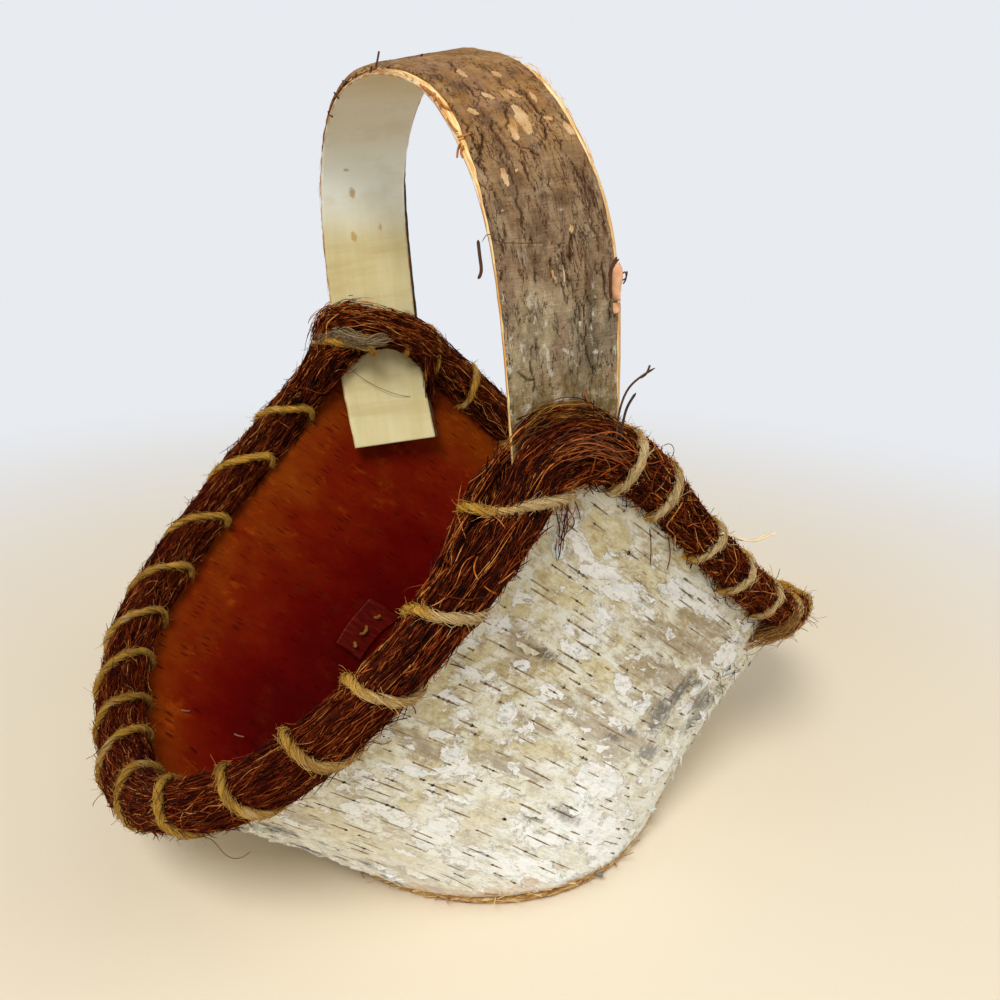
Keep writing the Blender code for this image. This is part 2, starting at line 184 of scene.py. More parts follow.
def rough(points, size, seed=0):
    """Smooth random values from -1 to 1 that change over the size, a number or one per axis."""
    places = np.asarray(points, float) / size + 17.31 * (seed + 1)
    cell = np.floor(places).astype(np.int64)
    part = places - cell
    part = part * part * (3 - 2 * part)
    total = np.zeros(places.shape[:-1])
    for corner in range(8):
        step = np.array([corner & 1, corner >> 1 & 1, corner >> 2 & 1])
        x, y, z = np.moveaxis(cell + step, -1, 0)
        mixed = x * 73856093 ^ y * 19349663 ^ z * 83492791 ^ (seed + 1) * 2654435761
        mixed = (mixed ^ mixed >> 13) * 1274126177
        value = ((mixed ^ mixed >> 16) & 0xFFFF) / 32767.5 - 1.0
        total += value * np.prod(np.where(step, part, 1.0 - part), axis=-1)
    return total


def fractal(points, size, seed=0, layers=3):
    """Rough values with finer layers added."""
    total = np.zeros(np.shape(points)[:-1])
    for layer in range(layers):
        total += rough(points, np.asarray(size) / 2**layer, seed + 11 * layer) / 2**layer
    return total / 1.6


def steps_along(line):
    """The distances from each point of a line to the next one."""
    return np.linalg.norm(np.diff(line, axis=0), axis=1)


def travelled(line):
    """How far along a line each of its points lies."""
    return np.concatenate([[0.0], np.cumsum(steps_along(line))])


def spline(points, count, closed):
    """Evenly spaced points on the smooth curve through the given ones."""
    points = np.array(points, float)
    if closed:
        points = np.vstack([points, points[:1]])
    steps = np.linalg.norm(np.diff(points, axis=0), axis=1) ** 0.5
    knots = np.concatenate([[0.0], np.cumsum(steps)])
    last = len(points) - 1
    rows = np.eye(last + 1)
    right = np.zeros_like(points)
    slopes = np.diff(points, axis=0) / steps[:, None]
    for i in range(1, last):
        rows[i, i - 1 : i + 2] = steps[i - 1], 2 * (steps[i - 1] + steps[i]), steps[i]
        right[i] = 6 * (slopes[i] - slopes[i - 1])
    if closed:
        rows[0, last] = -1.0
        rows[last] = 0.0
        rows[last, [0, 1, last - 1, last]] = 2 * steps[0], steps[0], steps[-1], 2 * steps[-1]
        right[last] = 6 * (slopes[0] - slopes[-1])
    bends = np.linalg.solve(rows, right)
    times = np.linspace(0.0, knots[-1], 20 * count)
    at = np.clip(np.searchsorted(knots, times, side="right") - 1, 0, last - 1)
    step = steps[at][:, None]
    before = (knots[at + 1] - times)[:, None]
    after = (times - knots[at])[:, None]
    curve = (
        (bends[at] * before**3 + bends[at + 1] * after**3) / (6 * step)
        + (points[at] / step - bends[at] * step / 6) * before
        + (points[at + 1] / step - bends[at + 1] * step / 6) * after
    )
    travel = travelled(curve)
    wanted = np.linspace(0.0, travel[-1], count, endpoint=not closed)
    return np.stack([np.interp(wanted, travel, curve[:, axis]) for axis in range(curve.shape[1])], axis=1)


def rim_curve():
    """The top edge of the wall, from the left end along the near side and back along the far side."""
    half = np.array(RIM_SHARES) * np.array([MOUTH_HALF_LENGTH, MOUTH_HALF_WIDTH, PEAK_HEIGHT])
    near = half * np.array([1.0, -1.0, 1.0])
    return spline(np.vstack([near, half[-2:0:-1]]), RIM_FINE_STATIONS, closed=True)


RIM = rim_curve()
RIM_LENGTH = float(steps_along(np.vstack([RIM, RIM[:1]])).sum())


def rim_point(shares):
    """Points on the top edge at shares of its length, from the left end along the near side."""
    places = (np.asarray(shares, float) % 1.0) * RIM_FINE_STATIONS
    known = np.arange(RIM_FINE_STATIONS + 1)
    closed = np.vstack([RIM, RIM[:1]])
    return np.stack([np.interp(places, known, closed[:, axis]) for axis in range(3)], axis=-1)


def base_point(rim):
    """The places on the bottom's outline below places on the top edge."""
    turn = np.arctan2(rim[..., 1] / MOUTH_HALF_WIDTH, rim[..., 0] / MOUTH_HALF_LENGTH)
    x = BASE_MIDDLE_X + BASE_HALF_LENGTH * np.cos(turn)
    y = BASE_HALF_WIDTH * np.sin(turn)
    return np.stack([x, y, np.full_like(x, BOTTOM_Z)], axis=-1)


def rim_frame(shares):
    """Place, direction along the edge, direction up the wall, and direction out of the basket."""
    shares = np.asarray(shares, float)
    step = 2.0 / RIM_FINE_STATIONS
    place = rim_point(shares)
    along = unit(rim_point(shares + step) - rim_point(shares - step))
    rise = place - base_point(place)
    up = unit(rise - along * np.sum(rise * along, axis=-1, keepdims=True))
    return place, along, up, np.cross(along, up)


def wall_middle(shares, climb):
    """Points on the middle of the wall: climb is 0 at the bottom's outline and 1 at the top edge."""
    rim = rim_point(shares)
    base = base_point(rim)
    return base + (rim - base) * np.asarray(climb)[..., None]


def wall_out(shares, climb):
    """The direction out of the basket on the wall."""
    step = 2.0 / RIM_FINE_STATIONS
    ahead = wall_middle(shares + step, climb) - wall_middle(shares - step, climb)
    rim = rim_point(shares)
    return unit(np.cross(ahead, rim - base_point(rim)))


def handle_x(z):
    """How far along the basket the handle's middle plane lies at a height."""
    return HANDLE_SHIFT_X + z * math.sin(HANDLE_LEAN)


def beside_strip(place):
    """How far a point lies beside the strip, along the basket. Below zero it is in front of the strip."""
    return np.abs(place[..., 0] - handle_x(place[..., 2])) - STRIP_WIDTH / 2


def strip_room(place):
    """How far the inner bundle gives way to the handle's foot."""
    fade = np.clip(1.0 - beside_strip(place) / ROOM_FADE, 0.0, 1.0)
    return (STRIP_THICKNESS + GAP + SEAT_SLACK) * fade * fade * (3 - 2 * fade)


def finish_piece(name, verts, faces, made_of, attributes=None):
    """One smooth mesh object that rides on the basket. Faces are an array of corners, all alike."""
    mesh = bpy.data.meshes.new(name)
    faces = np.asarray(faces, np.int32)
    corners = faces.shape[1]
    mesh.vertices.add(len(verts))
    mesh.vertices.foreach_set("co", np.asarray(verts, np.float32).ravel())
    mesh.loops.add(faces.size)
    mesh.loops.foreach_set("vertex_index", faces.ravel())
    mesh.polygons.add(len(faces))
    mesh.polygons.foreach_set("loop_start", np.arange(0, faces.size, corners, dtype=np.int32))
    mesh.polygons.foreach_set("loop_total", np.full(len(faces), corners, np.int32))
    mesh.update(calc_edges=True)
    mesh.validate()
    mesh.materials.append(made_of)
    mesh.polygons.foreach_set("use_smooth", np.full(len(mesh.polygons), True))
    for key, values in (attributes or {}).items():
        values = np.asarray(values, np.float32)
        if values.ndim == 2:
            mesh.attributes.new(key, "FLOAT_VECTOR", "POINT").data.foreach_set("vector", values.ravel())
        else:
            mesh.attributes.new(key, "FLOAT", "POINT").data.foreach_set("value", values)
    made = bpy.data.objects.new(name, mesh)
    bpy.context.scene.collection.objects.link(made)
    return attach(made, "root")


def grid_faces(rows, columns, columns_closed=False, rows_closed=False):
    """Triangles for a grid of points, closed round the rows, the columns or both."""
    i = np.arange(rows if rows_closed else rows - 1)[:, None]
    j = np.arange(columns if columns_closed else columns - 1)[None, :]
    k, n = (i + 1) % rows, (j + 1) % columns
    corners = [i * columns + j, i * columns + n, k * columns + n, k * columns + j]
    quads = np.stack([np.broadcast_to(c, (i.size, j.size)) for c in corners], axis=-1).reshape(-1, 4)
    return np.concatenate([quads[:, [0, 1, 2]], quads[:, [0, 2, 3]]])


def carried(lines, start):
    """Side directions carried along many lines without twist. Lines are (strand, point, 3)."""
    ahead = unit(np.gradient(lines, axis=1))
    side = np.zeros_like(lines)
    current = start - ahead[:, 0] * np.sum(start * ahead[:, 0], axis=-1, keepdims=True)
    for k in range(lines.shape[1]):
        current = unit(current - ahead[:, k] * np.sum(current * ahead[:, k], axis=-1, keepdims=True))
        side[:, k] = current
    return side, np.cross(ahead, side)


def capped(rows, ring):
    """Triangles for a closed tube of rings, with a fan over each end."""
    faces = grid_faces(rows, ring, True)
    ends = np.arange(ring)
    for cap in (ends[::-1], ends + (rows - 1) * ring):
        faces = np.vstack([faces, np.stack([np.full(ring - 2, cap[0]), cap[1:-1], cap[2:]], axis=1)])
    return faces


def repeated(faces, count, size):
    """The same triangles for each of many equal parts of size points."""
    return (faces[None] + (np.arange(count) * size)[:, None, None]).reshape(-1, 3)


def strands(name, lines, radius, sides, made_of, tones, flat=1.0, inner=None):
    """Many thin closed strands as one piece. Radius is one value, one per strand or one per point."""
    lines = np.asarray(lines, float)
    count, points = lines.shape[:2]
    radius = np.asarray(radius, float)
    if radius.ndim < 2:
        radius = radius.reshape(-1, 1)
    radius = np.broadcast_to(radius, (count, points)).copy()
    radius[:, [0, -1]] *= STRAND_END_SHARE
    side, other = carried(lines, np.random.default_rng(count).normal(size=(count, 3)))
    turns = 2 * math.pi * np.arange(sides) / sides
    spokes = side[:, :, None] * np.cos(turns)[:, None] + other[:, :, None] * (flat * np.sin(turns))[:, None]
    verts = (lines[:, :, None] + spokes * radius[:, :, None, None]).reshape(-1, 3)
    size = points * sides
    attributes = {"tone": np.repeat(np.broadcast_to(tones, count), size)}
    if inner is not None:
        attributes["inner"] = np.repeat(inner, size)
    return finish_piece(name, verts, repeated(capped(points, sides), count, size), made_of, attributes)


def strand_places(travel):
    """Places for random values along strands, far apart from one strand to the next."""
    key = np.arange(len(travel))[:, None] * np.ones(travel.shape[1])
    return np.stack([travel, key * 7.0, np.zeros_like(key)], axis=-1)


def along_strands(where, size, seed):
    """Smooth random values that change along each strand over the size."""
    return rough(where, (size, 1.0, 1.0), seed)


def colour(red, green, blue):
    """A picture's colour, each part from 0 to 255, as a linear one."""
    parts = np.array([red, green, blue]) / 255
    linear = np.where(parts > 0.04045, ((parts + 0.055) / 1.055) ** 2.4, parts / 12.92)
    return (*map(float, linear), 1.0)


class Shade:
    """A material and short calls for its nodes. Patterns lie in the model's own metres."""

    def __init__(self, name, roughness=0.8, specular=0.25):
        self.made = bpy.data.materials.new(name)
        self.made.use_nodes = True
        self.tree = self.made.node_tree
        self.shader = self.tree.nodes["Principled BSDF"]
        self.shader.inputs["Roughness"].default_value = roughness
        self.shader.inputs["Specular IOR Level"].default_value = specular
        self.place = self.tree.nodes.new("ShaderNodeTexCoord").outputs["Object"]
        self.turned = self.move(self.place, turn=-TRUNK_TILT)
        self.base = None

    def put(self, socket, value):
        """Links a socket to an input, or sets the input's value."""
        if isinstance(value, bpy.types.NodeSocket):
            self.tree.links.new(value, socket)
        else:
            socket.default_value = value

    def move(self, vector, turn=0.0, scale=(1.0, 1.0, 1.0), shift=(0.0, 0.0, 0.0)):
        """Places turned about the Y axis, scaled and shifted."""
        node = self.tree.nodes.new("ShaderNodeMapping")
        self.put(node.inputs["Vector"], vector)
        node.inputs["Rotation"].default_value = (0.0, turn, 0.0)
        node.inputs["Scale"].default_value = scale
        node.inputs["Location"].default_value = shift
        return node.outputs["Vector"]

    def lay(self):
        """The places along, across and into a piece that were stored on its points."""
        return self.stored("lay").outputs["Vector"]

    def tone(self, key="tone"):
        """The value that was stored on a piece's points."""
        return self.stored(key).outputs["Fac"]

    def stored(self, key):
        node = self.tree.nodes.new("ShaderNodeAttribute")
        node.attribute_name = key
        return node

    def scaled(self, vector, size, shift):
        """Places in a pattern that changes over the size, in metres: one number or one per axis."""
        sizes = np.broadcast_to(np.asarray(size, float), 3)
        vector = self.place if vector is None else vector
        return self.move(vector, scale=tuple(float(1 / one) for one in sizes), shift=(shift, shift, shift))

    def noise(self, size, vector=None, detail=3.0, rough_share=0.55, shift=0.0, bend=0.0):
        """Soft values near a half that change over the size."""
        node = self.tree.nodes.new("ShaderNodeTexNoise")
        self.put(node.inputs["Vector"], self.scaled(vector, size, shift))
        node.inputs["Scale"].default_value = 1.0
        node.inputs["Detail"].default_value = detail
        node.inputs["Roughness"].default_value = rough_share
        node.inputs["Distortion"].default_value = bend
        return node.outputs["Fac"]

    def cells(self, size, vector, shift=0.0):
        """Distance from the middle of random cells, and one random value for each cell."""
        node = self.tree.nodes.new("ShaderNodeTexVoronoi")
        self.put(node.inputs["Vector"], self.scaled(vector, size, shift))
        node.inputs["Scale"].default_value = 1.0
        return node.outputs["Distance"], self.axis(node.outputs["Color"], "X")

    def calc(self, operation, first, second=0.0):
        node = self.tree.nodes.new("ShaderNodeMath")
        node.operation = operation
        self.put(node.inputs[0], first)
        self.put(node.inputs[1], second)
        return node.outputs[0]

    def times(self, first, second):
        return self.calc("MULTIPLY", first, second)

    def plus(self, first, second):
        return self.calc("ADD", first, second)

    def minus(self, first, second):
        return self.calc("SUBTRACT", first, second)

    def step(self, value, low, high):
        """From 0 at the low value to 1 at the high one."""
        node = self.tree.nodes.new("ShaderNodeMapRange")
        node.interpolation_type = "SMOOTHSTEP"
        self.put(node.inputs["Value"], value)
        node.inputs["From Min"].default_value = min(low, high)
        node.inputs["From Max"].default_value = max(low, high)
        node.inputs["To Min"].default_value = 0.0 if low < high else 1.0
        node.inputs["To Max"].default_value = 1.0 if low < high else 0.0
        return node.outputs["Result"]

    def centred(self, noise, share):
        """Soft values on both sides of 0, up to half the share."""
        return self.times(self.minus(noise, 0.5), share)

    def along(self, name, low, high):
        """From 0 to 1 between two places on an axis of the model."""
        return self.step(self.axis(self.place, name), low, high)

    def mix(self, factor, first, second):
        node = self.tree.nodes.new("ShaderNodeMix")
        node.data_type = "RGBA"
        self.put(node.inputs[0], factor)
        self.put(node.inputs[6], first)
        self.put(node.inputs[7], second)
        return node.outputs[2]

    def over(self, mask, share, tint):
        """Lays a colour or a ramp over the base as far as the mask and the share say."""
        tint = tint if isinstance(tint, bpy.types.NodeSocket) else colour(*tint)
        self.base = self.mix(self.times(mask, share), self.base, tint)

    def ramp(self, value, *stops):
        """Colours between stops, each a value and a picture's colour."""
        node = self.tree.nodes.new("ShaderNodeValToRGB")
        self.put(node.inputs["Fac"], value)
        line = node.color_ramp.elements
        while len(line) < len(stops):
            line.new(0.5)
        for element, (at, *tint) in zip(line, stops):
            element.position = at
            element.color = colour(*tint)
        return node.outputs["Color"]

    def axis(self, vector, name):
        node = self.tree.nodes.new("ShaderNodeSeparateXYZ")
        self.put(node.inputs[0], vector)
        return node.outputs[name]

    def bump(self, height, distance, strength=1.0):
        """Small relief that only the light shows, with its depth in metres."""
        node = self.tree.nodes.new("ShaderNodeBump")
        node.inputs["Strength"].default_value = strength
        node.inputs["Distance"].default_value = distance
        self.put(node.inputs["Height"], height)
        self.put(self.shader.inputs["Normal"], node.outputs["Normal"])

    def finish(self):
        self.put(self.shader.inputs["Base Color"], self.base)
        return self.made


def trunk_places(places):
    """Places turned so that the last axis runs up the trunk and the dark dashes lie square to it."""
    turn = np.array([
        [math.cos(TRUNK_TILT), 0.0, -math.sin(TRUNK_TILT)],
        [0.0, 1.0, 0.0],
        [math.sin(TRUNK_TILT), 0.0, math.cos(TRUNK_TILT)],
    ])
    return places @ turn.T


def make_camera():
    """The camera, and its directions to the right, up and forward."""
    forward = Vector((
        -math.sin(CAMERA_YAW) * math.cos(CAMERA_PITCH),
        math.cos(CAMERA_YAW) * math.cos(CAMERA_PITCH),
        -math.sin(CAMERA_PITCH),
    ))
    level = Vector((math.cos(CAMERA_YAW), math.sin(CAMERA_YAW), 0.0))
    upright = level.cross(forward)
    right = level * math.cos(CAMERA_ROLL) + upright * math.sin(CAMERA_ROLL)
    top = upright * math.cos(CAMERA_ROLL) - level * math.sin(CAMERA_ROLL)
    data = bpy.data.cameras.new("camera")
    data.sensor_width = SENSOR_WIDTH
    data.lens = CAMERA_LENS
    data.clip_start = 0.01
    made = bpy.data.objects.new("camera", data)
    turn = Matrix((right, top, -forward)).transposed().to_4x4()
    made.matrix_world = Matrix.Translation(CAMERA_PLACE) @ turn
    bpy.context.scene.collection.objects.link(made)
    bpy.context.scene.camera = made
    return right, top, forward


CAMERA_AXES = [np.array(axis) for axis in make_camera()]


def sight(x, y):
    """The direction in which the camera sees a point of the picture, one unit deep."""
    right, top, forward = CAMERA_AXES
    scale = SENSOR_WIDTH / CAMERA_LENS
    across, down = (x - PICTURE_MIDDLE) / PICTURE_SIZE, (y - PICTURE_MIDDLE) / PICTURE_SIZE
    return forward + right * (across * scale) - top * (down * scale)


def at_depth(pixels, beside):
    """Places seen at the picture's points, as deep as a known place."""
    depth = float(np.dot(np.asarray(beside) - EYE, CAMERA_AXES[2]))
    return np.array([EYE + sight(x, y) * depth for x, y in pixels])


def hit(tree, x, y):
    """Where the sight through a point of the picture meets a surface, or nothing."""
    place = tree.ray_cast(Vector(CAMERA_PLACE), Vector(sight(x, y)))[0]
    return None if place is None else np.array(place)


def surface_tree(node):
    """A solid's surface, ready for sights to meet it."""
    return BVHTree.FromObject(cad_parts[node], bpy.context.evaluated_depsgraph_get())


def picture(places):
    """Where the camera sees places: across and down the picture."""
    moves = np.asarray(places) - EYE
    right, top, forward = CAMERA_AXES
    depth = np.maximum(moves @ forward, 0.01)
    scale = PICTURE_SIZE * CAMERA_LENS / SENSOR_WIDTH
    return PICTURE_MIDDLE + scale * (moves @ right) / depth, PICTURE_MIDDLE - scale * (moves @ top) / depth


def marked(places, marks):
    """1 in the middle of the marks, a half at their edges and less outside them.

    A mark is where the picture shows its middle, its half length and half width there, and its lean.
    """
    across, down = picture(places)
    found = np.zeros(across.shape)
    for x, y, long, wide, lean in marks:
        turn = math.radians(lean)
        ahead = (across - x) * math.cos(turn) + (down - y) * math.sin(turn)
        beside = (down - y) * math.cos(turn) - (across - x) * math.sin(turn)
        found = np.maximum(found, 1 - 0.5 * np.hypot(ahead / long, beside / wide))
    return found


def depth_at(trees, x, y):
    """How deep the first surface lies that the camera sees at a point of the picture, or nothing."""
    places = [hit(tree, x, y) for tree in trees]
    depths = [float(np.dot(place - EYE, CAMERA_AXES[2])) for place in places if place is not None]
    return min(depths) if depths else None


def depth_near(trees, pixels):
    """How deep the surface lies that is nearest in the picture to any of the points."""
    for reach in range(1, 60):
        for x, y in pixels:
            for turn in np.arange(24) * math.pi / 12:
                depth = depth_at(trees, x + reach * math.cos(turn), y + reach * math.sin(turn))
                if depth is not None:
                    return depth


def drawn(trees, pixels, off=0.001, count=20):
    """A line through places that the camera sees at points of the picture, just in front of what is there.

    Past the outline it stays as deep as the nearest point that has something behind it.
    """
    depths = [depth_at(trees, x, y) for x, y in pixels]
    known = [number for number, depth in enumerate(depths) if depth is not None]
    if known:
        depths = np.interp(np.arange(len(depths)), known, [depths[number] for number in known])
    else:
        depths = np.full(len(pixels), depth_near(trees, pixels))
    places = np.array([EYE + sight(x, y) * (depth - off) for (x, y), depth in zip(pixels, depths)])
    return spline(places, count, closed=False)


def wisp(name, random, line, spread, count, share, made_of, radius, points=16, wild=1.0):
    """A loose bundle of fibres round a line."""
    known = np.linspace(0.0, 1.0, len(line))
    at = np.linspace(0.0, 1.0, points)[None, :]
    starts = random.uniform(-0.25 * share, 1 - 0.75 * share, count)[:, None]
    travel = np.clip(starts + share * random.uniform(0.6, 1.3, count)[:, None] * at, 0.0, 1.0)
    lines = np.stack([np.interp(travel, known, line[:, axis]) for axis in range(3)], axis=-1)
    where = strand_places(travel * np.linalg.norm(line[-1] - line[0]))
    for number, axis in enumerate(CAMERA_AXES):
        size = spread * (1.0 if number < 2 else 0.6)
        move = random.normal(0.0, 0.45, count)[:, None]
        move = move + random.normal(0.0, 0.35, count)[:, None] * (at - 0.5)
        move = move + 0.35 * wild * along_strands(where, 0.006, 211 + number)
        lines = lines + axis * (size * move)[..., None]
    thick = radius * random.uniform(0.6, 1.3, count)
    return strands(name, lines, thick, 3, made_of, random.beta(1.2, 1.7, count))


def wall_slopes(share, climb):
    """How a place on the wall moves with its share and with its climb."""
    small = 0.001
    by_share = (wall_middle(share + small, climb) - wall_middle(share - small, climb)) / (2 * small)
    rim = rim_point(share)
    return by_share, rim - base_point(rim)


def wall_move(share, climb, move):
    """The share and climb that a short move along the wall leads to."""
    by_share, by_climb = wall_slopes(share, climb)
    a = np.sum(by_share * by_share, axis=-1)
    b = np.sum(by_share * by_climb, axis=-1)
    c = np.sum(by_climb * by_climb, axis=-1)
    p = np.sum(move * by_share, axis=-1)
    q = np.sum(move * by_climb, axis=-1)
    whole = a * c - b * b
    return share + (c * p - b * q) / whole, climb + (a * q - b * p) / whole


def wall_sites(random, count, low=0.03, high=0.97):
    """Random places spread evenly over the wall."""
    share = random.uniform(0.0, 1.0, 8 * count)
    climb = random.uniform(low, high, 8 * count)
    by_share, by_climb = wall_slopes(share, climb)
    area = np.linalg.norm(np.cross(by_share, by_climb), axis=1)
    keep = random.uniform(0.0, area.max(), len(area)) < area
    return share[keep][:count], climb[keep][:count]


def apart(shares, climbs, lengths, gap):
    """Which sites to keep so that no two dashes lie on each other."""
    turned = trunk_places(wall_middle(shares, climbs))
    kept = []
    for number, place in enumerate(turned):
        clear = True
        for other in kept:
            move = np.abs(place - turned[other])
            along = math.hypot(move[0], move[1])
            if move[2] < gap and along < 0.5 * (lengths[number] + lengths[other]) + 0.001:
                clear = False
                break
        if clear:
            kept.append(number)
    return np.array(kept)


def ring_lines(shares, climbs, lengths, points):
    """Lines round the trunk on the wall, each with its middle at a given site."""
    step = lengths / (points - 1)
    halves = []
    for sign in (-1.0, 1.0):
        share, climb = shares.copy(), climbs.copy()
        row = [(share, climb)]
        for _ in range(points // 2):
            move = unit(np.cross(wall_out(share, climb), TRUNK)) * (sign * step)[:, None]
            share, climb = wall_move(share, climb, move)
            row.append((share, climb))
        halves.append(row)
    path = halves[0][:0:-1] + halves[1]
    return np.stack([one for one, _ in path], axis=1), np.stack([two for _, two in path], axis=1)


def bark_relief(places):
    """How far the white bark's outer face stands off its mean level."""
    turned = trunk_places(places)
    waves = 0.00040 * fractal(turned, (0.050, 0.050, 0.022), 1, 2)
    layers = fractal(turned, (0.020, 0.020, 0.0055), 2, 4)
    steps = 0.00016 * (smooth_step(layers, 0.02, 0.09) + smooth_step(layers, 0.30, 0.36))
    ridges = 0.00010 * rough(turned, (0.018, 0.018, 0.0016), 5)
    grain = 0.00005 * rough(turned, (0.003, 0.003, 0.0012), 6)
    return waves + steps + ridges + grain


def inner_relief(places):
    """How far the smooth inner bark stands off its mean level."""
    turned = trunk_places(places)
    waves = 0.00035 * fractal(turned, (0.045, 0.045, 0.020), 31, 2)
    return waves + 0.00006 * rough(turned, (0.014, 0.014, 0.0018), 33)


def wall_rows(shares, rows):
    """Rows of places on the sheet's middle, the way out at each, and each row's share of the thickness."""
    rim = rim_point(shares)
    base = base_point(rim)
    middle = np.array([BASE_MIDDLE_X, 0.0, BOTTOM_Z])
    inward, rise = unit(middle - base), unit(rim - base)
    length = np.linalg.norm(rim - base, axis=1, keepdims=True)
    down = np.broadcast_to(np.array([0.0, 0.0, -1.0]), base.shape)
    foot = base + inward * CORNER_SIZE
    found = [(middle + (foot - middle) * share, down, 1.0) for share in np.linspace(0.06, 1.0, 8)[:-1]]
    low_out = wall_out(shares, np.full(len(shares), 0.02))
    for share in np.linspace(0.0, 1.0, 6)[:-1]:
        before = base + inward * CORNER_SIZE * (1 - share)
        after = base + rise * CORNER_SIZE * share
        normal = unit(down * (1 - share) + low_out * share)
        found.append((before * (1 - share) + after * share, normal, 1.0))
    for share in np.linspace(0.0, 1.0, rows):
        reach = CORNER_SIZE + (length + EDGE_RISE - CORNER_SIZE) * share
        found.append((base + rise * reach, wall_out(shares, (reach / length)[:, 0]), 1.0))
    for depth in (0.5, 0.0):
        found.append((found[-1][0] + rise * 0.0001, found[-1][1], depth))
    places, normals, depths = zip(*found)
    return np.array(places), np.array(normals), np.array(depths)[:, None]


def bark_sheet(name, columns, rows, side, relief, made_of):
    """One face of the sheet, from the middle of the bottom up the wall and half over its top edge."""
    shares = np.arange(columns) / columns
    places, normals, depths = wall_rows(shares, rows)
    stand = BARK_THICKNESS / 2 * depths + relief(places) * (depths == 1.0)
    middle = np.array([BASE_MIDDLE_X, 0.0, BOTTOM_Z - side * BARK_THICKNESS / 2])
    verts = np.vstack([(places + side * normals * stand[..., None]).reshape(-1, 3), middle])
    ring = np.arange(columns)
    fan = np.stack([(ring + 1) % columns, ring, np.full(columns, len(verts) - 1)], axis=1)
    faces = np.concatenate([grid_faces(len(places), columns, True), fan])
    if side < 0:
        faces = faces[:, ::-1]
    climb = (places[..., 2] - BOTTOM_Z) / (rim_point(shares)[:, 2] - BOTTOM_Z)
    attributes = {"climb": np.append(np.clip(climb, 0.0, 1.0), 0.0)}
    if side > 0:
        seen = smooth_step(np.sum(unit(EYE - places) * normals, axis=-1), -0.02, 0.08).ravel()
        for key, marks in BARK_MARKS.items():
            attributes[key] = np.append(marked(places.reshape(-1, 3), marks) * seen, 0.0)
        attributes["seen"] = np.append(seen, 0.0)
    made = finish_piece(name, verts, faces, made_of, attributes)
    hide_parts("bark_body")
    return made


def ribbons(name, lines, sides, lift, half_width, made_of, tones):
    """Small lens-shaped strips on a surface. Lift and half width have one value per point of each line."""
    count, points = lines.shape[:2]
    profile = np.array([[-1.0, -0.6], [-0.5, 0.75], [0.0, 1.0], [0.5, 0.75], [1.0, -0.6]])
    across = np.cross(sides, unit(np.gradient(lines, axis=1)))
    verts = (
        lines[:, :, None]
        + across[:, :, None] * (profile[:, 0] * half_width[..., None])[..., None]
        + sides[:, :, None] * (profile[:, 1] * lift[..., None])[..., None]
    ).reshape(-1, 3)
    faces = repeated(grid_faces(points, len(profile))[:, ::-1], count, points * len(profile))
    return finish_piece(name, verts, faces, made_of, {"tone": np.repeat(tones.ravel(), len(profile))})


def wall_spots(tree, pixels):
    """Share and climb of the wall where the camera sees it at points of the picture."""
    shares, climbs = np.meshgrid(np.linspace(0.0, 0.55, 700), np.linspace(0.0, 1.0, 160))
    half = wall_out(shares.ravel(), climbs.ravel()) * BARK_THICKNESS / 2
    known = wall_middle(shares.ravel(), climbs.ravel()) + half
    found = []
    for x, y in pixels:
        place = hit(tree, x, y)
        if place is None:
            continue
        best = int(np.argmin(np.sum((known - place) ** 2, axis=1)))
        found.append((shares.ravel()[best], climbs.ravel()[best]))
    return np.array(found)


def dash_sites(random, tree):
    """Where the dashes lie, their lengths and strengths: those of the picture first, then random ones."""
    spots = wall_spots(tree, [(x, y) for x, y, _, _ in DASHES])
    sizes = np.array([(long / PIXELS_PER_METRE, wide) for _, _, long, wide in DASHES])
    shares, climbs = wall_sites(random, 2100)
    lengths = random.uniform(0.0030, 0.0150, len(shares)) * random.uniform(0.5, 1.0, len(shares))
    place, out = wall_middle(shares, climbs), wall_out(shares, climbs)
    seen = np.sum((EYE - place) * out, axis=1) > 0
    free = ~seen | (random.uniform(0.0, 1.0, len(shares)) < 0.45)
    shares = np.concatenate([spots[:, 0], shares[free]])
    climbs = np.concatenate([spots[:, 1], climbs[free]])
    lengths = np.concatenate([sizes[:, 0], lengths[free]])
    weight = np.concatenate([sizes[:, 1], random.uniform(0.35, 1.0, len(shares) - len(sizes)) ** 1.5])
    kept = apart(shares, climbs, lengths, 0.0018)
    return shares[kept], climbs[kept], lengths[kept], weight[kept]


